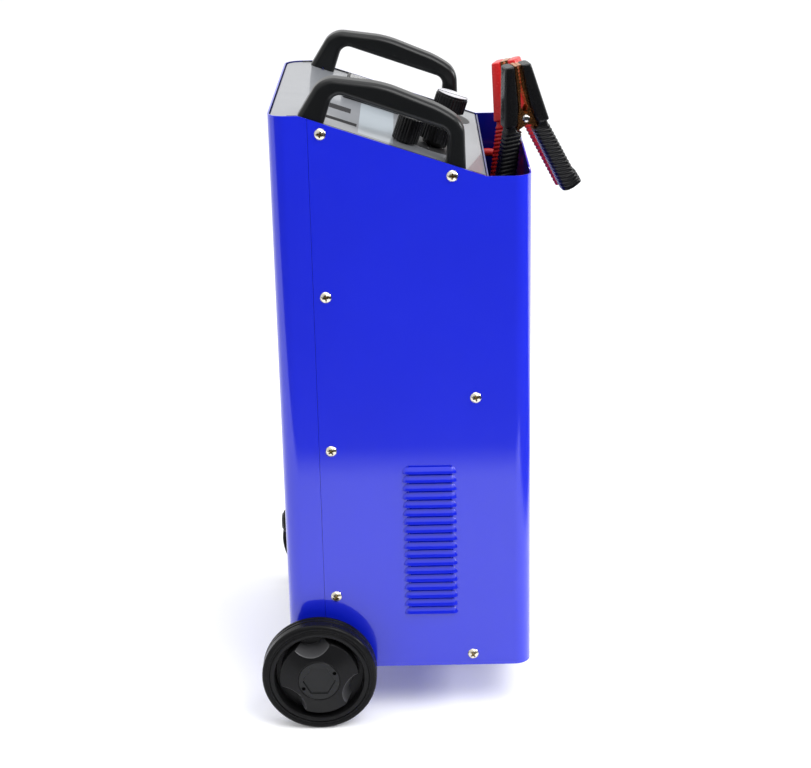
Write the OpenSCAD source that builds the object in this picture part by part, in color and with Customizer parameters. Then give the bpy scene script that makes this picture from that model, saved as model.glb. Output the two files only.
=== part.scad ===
// Wheeled battery charger: a sheet steel cabinet with a sloping control panel, two handles,
// two wheels, and a pocket at the front for the charging leads and their clamps.
// Frame: +Z up, floor at z = 0, front wall towards -Y, sides at +X and -X. Millimetres.

/* [Cabinet] */
// Outer width of the cabinet
body_w = 324; // [312:1:380]
// Outer depth of the cabinet
body_d = 265; // [250:1:300]
// Height of the rear top edge above the floor
top_z = 672.5; // [650:0.5:740]
// Height of the lower edge above the floor
skirt_z = 57.5; // [52:0.5:62]
// Thickness of the sheet steel
sheet = 1.5; // [1:0.1:2]
// Radius of the upright corners
corner_r = 18; // [10:0.5:26]
// Distance of the side seam from the rear face
seam_back = 40.5; // [40.5:0.5:50]
// Width of the flange that laps under the shell at the seam
lap_w = 30; // [24:1:40]
// Depth of the flat strip behind the slope
rear_flat = 30.7; // [24:0.1:40]
// Tilt of the control panel
panel_tilt = 19; // [14:0.5:21]
// Depth of the lead pocket from front to back
tray_d = 45.2; // [45.2:0.1:56]
// Height of the pocket's floor above the floor
tray_floor_z = 362; // [340:0.5:362]
// Gap between sheets that only lie against each other
fit_gap = 0.3; // [0.2:0.05:0.5]

/* [Base] */
// Height of the base plate's top face
floor_z = 84; // [80:0.5:100]
// Thickness of the base plate
base_t = 2; // [1.5:0.1:3]
// Width of the front foot
foot_w = 100; // [80:1:120]
// Depth of the front foot
foot_d = 40; // [34:1:60]
// Thickness of the front foot's plate
foot_t = 3; // [2:0.5:4]
// Distance of the foot from the front face
foot_inset = 16; // [10:1:40]
// Diameter of a rubber pad
pad_dia = 28; // [20:1:34]
// Height of a rubber pad
pad_h = 8; // [5:0.5:12]

/* [Wheels] */
// Wheel diameter
wheel_dia = 125; // [115:1:136]
// Width of the tyre
tyre_w = 26; // [22:0.5:32]
// Thickness of the tyre
tyre_t = 8; // [6:0.5:10]
// Radius of the tyre's shoulders
tyre_round = 4; // [2:0.5:6]
// Gap between the cabinet's side and the tyre
wheel_gap = 8; // [7:0.5:14]
// How far the wheels stand out behind the rear face
wheel_overhang = 29.5; // [26:0.5:34]
// Axle diameter
axle_dia = 12; // [10:0.5:14]
// Running clearance of the wheel on the axle, on the radius
axle_play = 0.08; // [0.04:0.01:0.1]
// How far the hub stands out beyond the tyre's face
hub_proud = 7; // [5:0.5:9]
// Diameter of the hub cap
cap_dia = 45; // [40:0.5:48]
// Thickness of the hub cap
cap_t = 3; // [2.5:0.5:4]
// Hexagon in the hub cap, across corners
cap_hex = 36; // [28:0.5:37]
// Radius of the three scooped bays between the hub's lobes, at the hub's front
bay_r = 25; // [22:0.5:26]
// Radius of a bay at its floor
bay_floor_r = 17; // [14:0.5:20]
// Distance of the bays' centres from the axle
bay_reach = 52.5; // [52:0.5:55]

/* [Louvres] */
// Number of louvres on each side
louvre_count = 18; // [10:1:20]
// Length of a side louvre
louvre_len = 58; // [40:1:70]
// Spacing of the louvres
louvre_pitch = 9.7; // [9:0.1:11]
// Height of a louvre
louvre_h = 7.2; // [6:0.1:8]
// How far a louvre stands out
louvre_proud = 3.6; // [2.5:0.1:4.5]
// Height of the top louvre's lip above the floor
louvre_top_z = 287; // [270:1:320]
// Distance of the louvres' middle from the front face
louvre_y = 108.6; // [100:0.1:120]
// Number of louvres on the rear face
rear_louvre_count = 8; // [4:1:12]
// Length of a rear louvre
rear_louvre_len = 150; // [100:1:180]
// Height of the top rear louvre's lip above the floor
rear_louvre_z = 487; // [440:1:520]
// Spacing of the rear louvres
rear_louvre_pitch = 14.5; // [10:0.5:18]

/* [Screws] */
// Head diameter of a case screw
screw_head = 12; // [9:0.5:13]
// Head height of a case screw
screw_head_h = 3; // [2:0.1:3.5]
// Shank diameter of a case screw
screw_shank = 4.6; // [4:0.1:5]
// Clearance of the screw holes on the diameter
hole_play = 0.6; // [0.4:0.1:1]
// Distance of the rear row of screws from the seam
screw_seam = 12.5; // [10:0.5:15]
// Spacing of the rear row of screws
screw_step = 170; // [150:1:180]
// Depth of the rear row's top screw below the rear top edge
screw_drop = 19; // [16:0.5:20]

/* [Handles] */
// Thickness of a handle across the cabinet
handle_w = 26; // [20:0.5:32]
// Distance of a handle from the cabinet's side
handle_inset = 2; // [1:0.5:4]
// Height of a handle's crest above the panel, before its rounding
handle_h = 56.5; // [52:0.5:66]
// Height of the finger gap
grip_h = 33; // [28:0.5:36]
// Length of a handle along the slope
handle_len = 177.5; // [165:0.5:185]
// Length of the handle's rear foot along the slope
rear_foot = 27.4; // [22:0.2:32]
// Length of the handle's front foot along the slope
front_foot_len = 21; // [17:0.5:26]

/* [Controls] */
// Distance of the charge knob from the cabinet's side
charge_inset = 65; // [60:1:72]
// Distance of the charge knob from the fold, along the slope
charge_u = 162; // [156:1:168]
// Distance of the voltage knob from the cabinet's side
voltage_inset = 72; // [66:1:74]
// Distance of the voltage knob from the fold, along the slope
voltage_u = 144; // [144:1:150]
// Diameter of a capped knob
knob_dia = 37; // [30:0.5:38]
// Height of a capped knob's top above the panel
knob_top = 25.5; // [20:0.5:28]
// Height of a capped knob's underside above the panel
knob_under = 6.5; // [6.5:0.5:9]
// Distance of the selector from the cabinet's side
selector_inset = 46; // [44:1:50]
// Distance of the selector from the fold, along the slope
selector_u = 112; // [104:1:113]
// Diameter of the selector
selector_dia = 27.5; // [24:0.5:30]
// Height of the selector above the panel
selector_top = 27; // [18:0.5:30]
// Distance of the meter's middle from the cabinet's side
meter_inset = 110; // [96:1:120]
// Width of the meter
meter_w = 84; // [70:1:100]
// Length of the meter along the slope
meter_len = 64; // [60:1:72]
// Distance of the meter's middle from the fold, along the slope
meter_u = 74; // [68:1:80]
// How far the meter stands out of the panel
meter_proud = 13; // [10:0.5:16]
// Diameter of the breaker's button
button_dia = 8; // [6:0.5:10]
// Travel of the breaker's button
button_travel = 3; // [2:0.5:4]

/* [Clamps] */
// Width of a clamp's insulated arm
clamp_w = 26; // [24:0.5:32]
// Length of a clamp from the pivot to the nose
nose_len = 58; // [52:0.5:66]
// Length of a clamp from the pivot to the grip's end
grip_len = 86; // [76:0.5:92]
// Diameter of the clamp's pivot rivet
rivet_dia = 5; // [4:0.5:6]
// Number of ribs on a grip
rib_count = 8; // [4:1:9]

/* [Leads] */
// Outer diameter of a charging lead
lead_dia = 9.5; // [8:0.1:9.7]

/* [Inside] */
// Width of the transformer core
core_w = 140; // [110:1:170]
// Height of the transformer core
core_h = 120; // [100:1:150]
// Stack depth of the transformer core
core_d = 80; // [60:1:90]
// Width of the core's windows
window_w = 26; // [22:0.5:30]
// Width of the heat sink
sink_w = 140; // [120:1:160]
// Height of the heat sink
sink_h = 120; // [110:1:130]
// Number of fins on the heat sink
fin_count = 9; // [6:1:12]

/* [Hidden] */
$fn = 64;

// Colours
blue = [0.09, 0.12, 0.8];
panel_grey = [0.78, 0.79, 0.82];
charcoal = [0.12, 0.12, 0.13];
black_rubber = [0.08, 0.08, 0.08];
steel = [0.7, 0.7, 0.72];
copper = [0.78, 0.5, 0.25];
red = [0.8, 0.14, 0.14];

// Places in the cabinet, worked out from the driving sizes
eps = 0.5;
front_y = -(body_d + wheel_overhang) / 2;
rear_y = front_y + body_d;
plan_y = (front_y + rear_y) / 2;
side_x = body_w / 2;
seam_y = rear_y - seam_back;
fold_y = rear_y - rear_flat;
tray_back_y = front_y + tray_d;
rim_z = top_z - (fold_y - tray_back_y) * tan(panel_tilt);
inner_x = side_x - sheet - fit_gap;
lap_inset = sheet + fit_gap;
lap_x = side_x - lap_inset - sheet;
flange_x = lap_x - fit_gap;

// Control panel
panel_drop = 1;
panel_top_z = top_z - panel_drop;
flange_h = 22;
lip_h = 13;
panel_under = sheet / cos(panel_tilt);
lap_clear = 4;
lap_drop = panel_drop + panel_under + lap_clear;

// Base and axle
wheel_r = wheel_dia / 2;
axle_y = rear_y + wheel_overhang - wheel_r;
axle_z = wheel_r;
axle_seat_play = 0.05;
base_inset = side_x - flange_x;
notch_w = axle_dia + 2;
saddle_x = 120;
saddle_w = 24;
saddle_wall = 9;
saddle_d = axle_dia + 2 * saddle_wall;
saddle_under = 5;
base_lip_z = skirt_z + 1;
pad_stem = pad_dia / 3;
pad_x = (foot_w - pad_dia) / 2;
pad_y = front_y + foot_inset + foot_d / 2;

// Wheels
tyre_in_x = side_x + wheel_gap;
hub_front = tyre_w + hub_proud;
rim_out_r = wheel_r - tyre_t;
rim_t = 6;
rim_edge = 1;
web_x = 8;
web_t = 4;
lobe_gap = 5.5;
lobe_r = rim_out_r - rim_t - lobe_gap;
hub_r = 16;
hub_back = 5;
cap_seat_play = 0.15;
nut_r = 10;
nut_t = 1.5;
nut_play = 1;
collar_r = 9;
collar_t = 1.5;
groove_d = 1.2;
groove_w = 2;
groove_places = [0.28 * tyre_w, 0.5 * tyre_w];
bay_count = 3;
bay_turn = -10;
boss_edge = 2;
hex_depth = 2;
hex_turn = 30;
dimple_depth = 0.5;
dimple_dia = 5;
pry_r = 2.2;
pry_edge = 1;
pry_turn = 62;

// Screw places on a side: distance from the front face, height
rear_row_y = body_d - seam_back - screw_seam;
rear_screws = [for (i = [0:3]) [rear_row_y, top_z - screw_drop - i * screw_step]];
panel_screw_y = 80.5;
panel_screw_z = top_z - (fold_y - front_y - panel_screw_y) * tan(panel_tilt) - flange_h / 2;
panel_screw = [panel_screw_y, panel_screw_z];
tray_screw = [tray_d + 13.3, tray_floor_z + 9];
base_screw = [63.5, (floor_z + skirt_z) / 2];
side_screws = concat(rear_screws, [panel_screw, tray_screw, base_screw]);
screw_tail = 4;
screw_len = 3 * (sheet + fit_gap) + screw_tail;
screw_hole = screw_shank + hole_play;

// Handles
handle_x = side_x - handle_inset - handle_w / 2;
bolt_dia = 6;
bolt_head = 12;
bolt_head_h = 4;
bolt_len = 22;
bolt_play = 0.1;
crest_u = 72;
rear_lean = 10.5;
rear_drop = 12;
bend_back = 40.5;
bend_drop = 4.2;
toe_back = 16.5;
toe_drop = 12;
front_lean = 8;
grip_fall = 1;
handle_round = 22;
crest_round = 100;
grip_round = 10;
rear_bolt_u = rear_foot / 2;
front_bolt_u = handle_len - front_foot_len / 2;

// Knobs and switches
charge_x = side_x - charge_inset;
voltage_x = voltage_inset - side_x;
selector_x = selector_inset - side_x;
knob_neck = 26;
knob_gap = 1.5;
knob_cap_t = 1.5;
knob_rim = 1.5;
knob_groove = 3;
flute_count = 30;
flute_r = 1;
spindle_dia = 6;
spindle_play = 0.08;
spindle_len = 10;
bush_dia = 10;
bush_top = 5;
bush_nut = 17;
bush_nut_h = 3;
switch_w = 28;
switch_h = 30;
switch_pit = 12;
skirt_bore = bush_nut + 2;
skirt_top = bush_top + 1;

// Meter
meter_x = side_x - meter_inset;
meter_wall = 3;
meter_can = 56;
meter_can_h = 34;
window_t = 2;
dial_t = 1;
needle_w = 2;
needle_t = 0.8;
needle_len = 36;
needle_tail = 6;
needle_lift = 2;
needle_pin = 3;
needle_play = 0.05;
needle_sweep = 90;
needle_room = 7;
dial_z = meter_proud - window_t - needle_room;
needle_inset = 12;
needle_u = meter_len / 2 - meter_wall - needle_inset;

// Breaker
breaker_u = 166;
breaker_w = 20;
breaker_h = 32;
breaker_bush = 13;
breaker_bush_h = 4;
breaker_neck = 10.4;
button_floor = 1;
button_proud = 6;
button_play = 0.3;
button_len = 14;

// Transformer
core_y = -8;
bracket_t = 3;
bracket_w = 26;
bracket_h = 20;
core_z = floor_z + bracket_t;
leg_w = 46.8;
window_h = 70;
yoke = (core_h - window_h) / 2;
wind_gap = 1;
wind_room = 4;
layer_t = (window_w - wind_room) / 2;

// Heat sink on the back of the pocket
sink_t = 5;
sink_post = 12;
sink_post_dia = 12;
sink_up = 48;
sink_z = tray_floor_z + sink_up;
fin_len = 24;
fin_t = 2;
fin_h = 70;
diode_dia = 13;
diode_h = 12;
diode_pin = 3;
diode_step = 32;
diode_count = 4;

// Clamps: place of the pivot, turn about Z, lean of the middle line
black_perch = 27;
black_out = 1.4;
black_pivot = [0, front_y - black_out, rim_z + black_perch];
black_turn = 10;
red_perch = 21.5;
red_in = 3.5;
red_x = 60;
red_pivot = [red_x, front_y + red_in, rim_z + red_perch];
red_turn = -16.5;
black_lean = 9;
red_lean = 12;
ear_r = 6.2;
ear_t = 1.5;
rear_ear_x = 9;
ear_play = 0.5;
front_ear_x = rear_ear_x - ear_t - ear_play;
strap_t = 2;
bite_gap = 0.3;
cover_step = 2.3;
nose_in = 3.6;
nose_out = 14.5;
shoulder_a = -6;
shoulder_out = 25.5;
neck_in = 6;
neck_a = 14;
throat_a = -11;
throat_in = 11.6;
crotch_a = -14;
crotch_in = 6;
grip_in = 27.5;
grip_out = 49;
tooth_count = 5;
tooth_h = 1.2;
tooth_zone = 20;
lead_seat = 28;
lead_play = 0.6;
seat_b = (grip_in + grip_out) / 2;
seat_top_b = (crotch_in + shoulder_out - cover_step) / 2;
seat_turn = atan2(seat_b - seat_top_b, grip_len + crotch_a);
grip_side = 1;
grip_heel = 5;
grip_notch = 4;
grip_notch_in = 8;
cover_lap = 4;
rib_r = 1.6;
rib_lift = 1.4;
rib_start = 8;
rib_end = 4;
tooth_run = 8;
rivet_fit = 0.05;
rivet_play = 0.16;
spring_wire = 1.8;
spring_r = 4.6;
spring_turns = 4;
spring_pitch = 2.6;
spring_leg = 5;
rivet_head = 8;
rivet_head_h = 1.2;

// Leads: each comes through the pocket's wall, drops into a coil and rises to its clamp
coil_edge = 34;
coil_r = (side_x - coil_edge) / 2;
coil_apart = 2.25;
coil_side = 5;
coil_half = coil_r + lead_dia / 2 + coil_apart;
coil_x = [coil_side - coil_half, coil_side + coil_half];
coil_lift = 0.25;
coil_up = coil_r + lead_dia / 2 + coil_lift;
coil_step = 11.6;
coil_in = 11.25;
layer_step = 11.2;
spiral_turns = 1.5;
climb_turns = 0.5;
rings_per_turn = 24;
lead_sides = 8;
coil_sides = 6;
lead_drop = 42.4;
lead_bend = 20;
feed_steps = 5;
tail_steps = 4;
coil_y = front_y + coil_in;
coil_z = tray_floor_z + coil_up;
lead_x = [coil_x[0] - coil_r, coil_x[1] + coil_r];
lead_z = rim_z - lead_drop;
grommet_dia = 18;
grommet_t = 8;
grommet_neck = 14;
lug_dia = 13;
lug_len = 16;
lug_t = 3;
lug_w = 14;
block_w = 20;
block_gap = 5;
block_h = 15;
lug_in = 22;
lug_y = tray_back_y + lug_in;
block_z = lead_z + lug_dia / 2 + block_gap;

// Rear gland
gland_z = 163;
gland_dia = 27;
gland_len = 18;
gland_nut = 32;
gland_nut_t = 6;
gland_bore = 10;
gland_thread = 20;
gland_tail = 12;

// Outline helpers
function unit(v) = v / norm(v);
function round_corner(a, b, c, r, steps = 8) =
    let (to_a = unit(a - b), to_c = unit(c - b), half = acos(to_a * to_c) / 2)
    let (mid = b + unit(to_a + to_c) * r / sin(half), reach = r / tan(half))
    let (first = b + to_a * reach - mid, last = b + to_c * reach - mid)
    let (start = atan2(first[1], first[0]), turn = atan2(last[1], last[0]) - start)
    let (sweep = turn > 180 ? turn - 360 : turn < -180 ? turn + 360 : turn)
    [for (i = [0:steps]) mid + r * [cos(start + sweep * i / steps), sin(start + sweep * i / steps)]];
function rounded_outline(points, radii) =
    let (n = len(points))
    [for (i = [0:n - 1])
        each radii[i] == 0 ? [points[i]]
            : round_corner(points[(i + n - 1) % n], points[i], points[(i + 1) % n], radii[i])];

// Tube helpers: a ring of corners square to the route at each point
function along(points, i) = unit(points[min(i + 1, len(points) - 1)] - points[max(i - 1, 0)]);
function tube_ring(p, t, side, r, n) =
    let (u = unit(cross(side, t)), w = cross(t, u))
    [for (k = [0:n - 1]) p + r * (cos(360 * k / n) * u + sin(360 * k / n) * w)];
module tube(points, side, r, n) {
    last = len(points) - 1;
    corners = [for (i = [0:last]) each tube_ring(points[i], along(points, i), side, r, n)];
    walls = [for (i = [0:last - 1], k = [0:n - 1])
        let (a = i * n + k, b = i * n + (k + 1) % n)
        each [[a, b + n, b], [a, a + n, b + n]]];
    start_cap = [for (k = [1:n - 2]) [0, k, k + 1]];
    end_cap = [for (k = [1:n - 2]) [last * n, last * n + k + 1, last * n + k]];
    polyhedron(corners, concat(walls, start_cap, end_cap));
}

// Rounded rectangle of the cabinet's plan, drawn in by an inset
module plan(inset) {
    w = body_w - 2 * inset;
    d = body_d - 2 * inset;
    r = corner_r - inset;
    translate([0, plan_y]) {
        square([w - 2 * r, d], center = true);
        square([w, d - 2 * r], center = true);
        for (sx = [-1, 1], sy = [-1, 1])
            translate([sx * (w / 2 - r), sy * (d / 2 - r)])
                circle(r);
    }
}
module plan_wall(inset) {
    difference() {
        plan(inset);
        plan(inset + sheet);
    }
}
module strip(y0, y1) {
    translate([-body_w, y0])
        square([2 * body_w, y1 - y0]);
}

// Extrudes an outline of (y, z) points across the cabinet
module across(x0, x1) {
    translate([x0, 0, 0])
        rotate([90, 0, 90])
            linear_extrude(x1 - x0)
                children();
}
module side_outline(drop = 0) {
    polygon([[front_y, skirt_z], [rear_y, skirt_z], [rear_y, top_z - drop],
        [fold_y, top_z - drop], [tray_back_y, rim_z - drop], [front_y, rim_z - drop]]);
}
module cabinet_wall(inset, y0, y1, drop = 0) {
    intersection() {
        across(-body_w, body_w)
            side_outline(drop);
        translate([0, 0, skirt_z - eps])
            linear_extrude(top_z - skirt_z + 2 * eps)
                intersection() {
                    plan_wall(inset);
                    strip(y0, y1);
                }
    }
}

// Puts children on the slope: x across, u down from the fold, +Z out of the panel
module on_panel(x, u) {
    translate([0, fold_y, panel_top_z])
        rotate([panel_tilt, 0, 0])
            translate([x, -u, 0])
                children();
}

// Louvre with its lip along Y and its hood towards +X, sheet face at x = 0
louvre_back = (louvre_h * louvre_h - louvre_proud * louvre_proud) / (2 * louvre_proud);
module louvre_hood(length) {
    intersection() {
        translate([-sheet, -length / 2, 0])
            cube([sheet + louvre_proud + eps, length, louvre_h]);
        difference() {
            translate([-louvre_back, 0, 0])
                rotate([90, 0, 0])
                    cylinder(r = louvre_back + louvre_proud, h = length, center = true);
            translate([-louvre_back, 0, 0])
                rotate([90, 0, 0])
                    cylinder(r = louvre_back + louvre_proud - sheet, h = length - 2 * sheet,
                        center = true);
        }
    }
}
module louvre_slot(length) {
    translate([-2 * sheet, -length / 2 + sheet, 0])
        cube([2 * sheet + eps, length - 2 * sheet, louvre_h - sheet]);
}
module side_louvres(slots) {
    for (i = [0:louvre_count - 1], turn = [0, 180])
        rotate([0, 0, turn])
            translate([side_x, (turn == 0 ? 1 : -1) * (front_y + louvre_y),
                louvre_top_z - i * louvre_pitch])
                if (slots) louvre_slot(louvre_len);
                else louvre_hood(louvre_len);
}
module rear_louvres(slots) {
    for (i = [0:rear_louvre_count - 1])
        translate([0, rear_y, rear_louvre_z - i * rear_louvre_pitch])
            rotate([0, 0, 90])
                if (slots) louvre_slot(rear_louvre_len);
                else louvre_hood(rear_louvre_len);
}
module side_holes(places, dia) {
    for (place = places)
        translate([0, front_y + place[0], place[1]])
            rotate([0, 90, 0])
                cylinder(d = dia, h = 2 * body_w, center = true);
}
module axle_notch() {
    translate([-body_w, axle_y - notch_w / 2, 0])
        cube([2 * body_w, notch_w, axle_z]);
    translate([0, axle_y, axle_z])
        rotate([0, 90, 0])
            cylinder(d = notch_w, h = 2 * body_w, center = true);
}

module front_shell() {
    color(blue)
        union() {
            difference() {
                cabinet_wall(0, front_y - eps, seam_y);
                side_louvres(true);
                axle_notch();
                side_holes(side_screws, screw_hole);
            }
            side_louvres(false);
        }
}

module rear_cover() {
    joggle = 2 * sheet;
    color(blue)
        difference() {
            union() {
                cabinet_wall(0, seam_y + fit_gap, rear_y + eps);
                cabinet_wall(lap_inset, seam_y - lap_w, seam_y + fit_gap + joggle, lap_drop);
                intersection() {
                    across(-body_w, body_w)
                        side_outline(lap_drop);
                    translate([0, 0, skirt_z - eps])
                        linear_extrude(top_z)
                            intersection() {
                                difference() {
                                    plan(0);
                                    plan(lap_inset + sheet);
                                }
                                strip(seam_y + fit_gap, seam_y + fit_gap + joggle);
                            }
                }
                rear_louvres(false);
            }
            rear_louvres(true);
            axle_notch();
            side_holes(rear_screws, screw_hole);
            translate([0, rear_y, gland_z])
                rotate([90, 0, 0])
                    cylinder(d = gland_thread + hole_play, h = 4 * sheet, center = true);
        }
}

module base_plate() {
    color(blue)
        difference() {
            union() {
                translate([0, 0, floor_z - base_t])
                    linear_extrude(base_t)
                        plan(base_inset);
                translate([0, 0, base_lip_z])
                    linear_extrude(floor_z - base_lip_z)
                        difference() {
                            plan(base_inset);
                            plan(base_inset + base_t);
                        }
                for (sx = [-1, 1])
                    translate([sx * saddle_x - saddle_w / 2, axle_y - saddle_d / 2,
                        axle_z - axle_dia / 2 - saddle_under])
                        cube([saddle_w, saddle_d, floor_z - axle_z + axle_dia / 2 + saddle_under
                            - base_t / 2]);
            }
            intersection() {
                axle_notch();
                difference() {
                    translate([-body_w, axle_y - notch_w, 0])
                        cube([2 * body_w, 2 * notch_w, floor_z]);
                    translate([-saddle_x - saddle_w, axle_y - 2 * notch_w, -eps])
                        cube([2 * saddle_x + 2 * saddle_w, 4 * notch_w, 2 * floor_z]);
                }
            }
            translate([0, axle_y, axle_z])
                rotate([0, 90, 0])
                    cylinder(d = axle_dia + 2 * axle_seat_play, h = 2 * body_w, center = true);
            side_holes([base_screw], screw_hole);
        }
}

module control_panel() {
    rear_in_y = rear_y - sheet - fit_gap;
    front_end_y = tray_back_y + fit_gap;
    front_end_z = panel_top_z - (fold_y - front_end_y) * tan(panel_tilt);
    bend = sheet * tan(panel_tilt / 2);
    color(panel_grey)
        difference() {
            union() {
                intersection() {
                    across(-inner_x, inner_x)
                        polygon([[rear_in_y, panel_top_z], [fold_y, panel_top_z],
                            [front_end_y, front_end_z], [front_end_y, front_end_z - lip_h],
                            [front_end_y + sheet, front_end_z - lip_h],
                            [front_end_y + sheet, front_end_z - panel_under
                                + sheet * tan(panel_tilt)],
                            [fold_y + bend, panel_top_z - sheet],
                            [rear_in_y - sheet, panel_top_z - sheet],
                            [rear_in_y - sheet, panel_top_z - flange_h],
                            [rear_in_y, panel_top_z - flange_h]]);
                    linear_extrude(2 * top_z)
                        plan(sheet + fit_gap);
                }
                for (sx = [0, 1])
                    mirror([sx, 0, 0])
                        across(flange_x - sheet, flange_x)
                            polygon([[fold_y, panel_top_z - sheet / 2],
                                [front_end_y + sheet, front_end_z],
                                [front_end_y + sheet, front_end_z - lip_h],
                                [front_end_y + 2 * sheet, front_end_z - flange_h],
                                [fold_y, panel_top_z - flange_h]]);
            }
            side_holes([rear_screws[0], panel_screw], screw_hole);
            for (sx = [-1, 1]) {
                for (u = [rear_bolt_u, front_bolt_u])
                    on_panel(sx * handle_x, u)
                        cylinder(d = bolt_dia + hole_play, h = 4 * sheet, center = true);
            }
            for (place = [[charge_x, charge_u], [voltage_x, voltage_u], [selector_x, selector_u]])
                on_panel(place[0], place[1])
                    cylinder(d = bush_dia + hole_play, h = 4 * sheet, center = true);
            on_panel(meter_x, meter_u)
                cylinder(d = meter_can + hole_play, h = 4 * sheet, center = true);
            on_panel(0, breaker_u)
                cylinder(d = breaker_neck + hole_play, h = 4 * sheet, center = true);
        }
}

module lead_tray() {
    wall_y = tray_back_y - sheet;
    lip = 15;
    wing = 30;
    wing_h = 215;
    wing_top = tray_floor_z + wing_h;
    foot_z = tray_floor_z - sheet;
    color(blue)
        difference() {
            union() {
                intersection() {
                    union() {
                        translate([-inner_x, wall_y, foot_z])
                            cube([2 * inner_x, sheet, rim_z - panel_drop - foot_z]);
                        translate([-inner_x, front_y, foot_z])
                            cube([2 * inner_x, tray_d, sheet]);
                    }
                    linear_extrude(2 * top_z)
                        plan(sheet + fit_gap);
                }
                translate([0, 0, foot_z])
                    linear_extrude(lip)
                        intersection() {
                            plan_wall(sheet + fit_gap);
                            strip(front_y, wall_y + sheet / 2);
                        }
                for (sx = [0, 1])
                    mirror([sx, 0, 0])
                        translate([inner_x - sheet, wall_y, foot_z])
                            cube([sheet, wing, wing_top - foot_z]);
            }
            side_holes([tray_screw], screw_hole);
            for (x = lead_x)
                translate([x, wall_y, lead_z])
                    rotate([90, 0, 0])
                        cylinder(d = grommet_neck + 2 * fit_gap, h = 6 * sheet, center = true);
        }
}

module front_foot() {
    back_y = front_y + foot_inset + foot_d;
    color(blue)
        difference() {
            across(-foot_w / 2, foot_w / 2)
                polygon([[front_y + foot_inset, pad_h], [back_y, pad_h], [back_y, pad_h + foot_t],
                    [front_y + foot_inset + foot_t, pad_h + foot_t],
                    [front_y + foot_inset + foot_t, floor_z - base_t - foot_t],
                    [back_y, floor_z - base_t - foot_t], [back_y, floor_z - base_t],
                    [front_y + foot_inset, floor_z - base_t]]);
            for (sx = [-1, 1])
                translate([sx * pad_x, pad_y, 0])
                    cylinder(d = pad_stem, h = floor_z / 2);
        }
}
module foot_pads() {
    color(black_rubber)
        for (sx = [-1, 1])
            translate([sx * pad_x, pad_y, 0]) {
                cylinder(d = pad_dia, h = pad_h);
                cylinder(d = pad_stem - hole_play, h = pad_h + foot_t);
            }
}

// Pan head screw pointing towards -X, its seat at x = 0
module case_screw() {
    dome_r = (screw_head * screw_head / 4 + screw_head_h * screw_head_h) / (2 * screw_head_h);
    rotate([0, 90, 0]) {
        translate([0, 0, -screw_len])
            cylinder(d = screw_shank, h = screw_len + eps);
        rotate_extrude()
            intersection() {
                square([screw_head / 2, screw_head_h]);
                translate([0, screw_head_h - dome_r])
                    circle(dome_r);
            }
    }
}
module case_screws() {
    color(steel)
        for (place = side_screws, sx = [0, 1])
            mirror([sx, 0, 0])
                translate([side_x, front_y + place[0], place[1]])
                    case_screw();
}

// Arched handle along the slope
module handle() {
    inner_end = handle_len - front_foot_len;
    corners = [[0, 0], [rear_lean, handle_h - rear_drop], [crest_u, handle_h],
        [handle_len - bend_back, handle_h - bend_drop], [handle_len - toe_back, handle_h - toe_drop],
        [handle_len, 0], [inner_end, 0], [inner_end - front_lean, grip_h - grip_fall],
        [rear_foot, grip_h], [rear_foot, 0]];
    radii = [0, handle_round, crest_round, crest_round, handle_round, 0, 0, grip_round, grip_round, 0];
    color(charcoal)
        difference() {
            rotate([90, 0, -90])
                linear_extrude(handle_w, center = true)
                    polygon(rounded_outline(corners, radii));
            for (u = [rear_bolt_u, front_bolt_u])
                translate([0, -u, -eps])
                    cylinder(d = bolt_dia, h = bolt_len - sheet);
        }
}
module handle_left() {
    on_panel(-handle_x, 0)
        handle();
}
module handle_right() {
    on_panel(handle_x, 0)
        handle();
}
module handle_screws() {
    color(steel)
        for (sx = [-1, 1], u = [rear_bolt_u, front_bolt_u])
            on_panel(sx * handle_x, u)
                translate([0, 0, -sheet]) {
                    translate([0, 0, -bolt_head_h])
                        cylinder(d = bolt_head, h = bolt_head_h);
                    cylinder(d = bolt_dia - bolt_play, h = bolt_len - 2 * eps);
                }
}

module axle() {
    nut_x = tyre_in_x + hub_front - cap_t - nut_t - nut_play;
    color(steel)
        rotate([0, 90, 0])
            translate([-axle_z, axle_y, 0]) {
                cylinder(d = axle_dia, h = 2 * (nut_x + nut_t), center = true);
                for (sx = [0, 1])
                    mirror([0, 0, sx]) {
                        translate([0, 0, nut_x])
                            cylinder(r = nut_r, h = nut_t);
                        translate([0, 0, side_x + fit_gap])
                            cylinder(r = collar_r, h = collar_t);
                    }
            }
}

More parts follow.
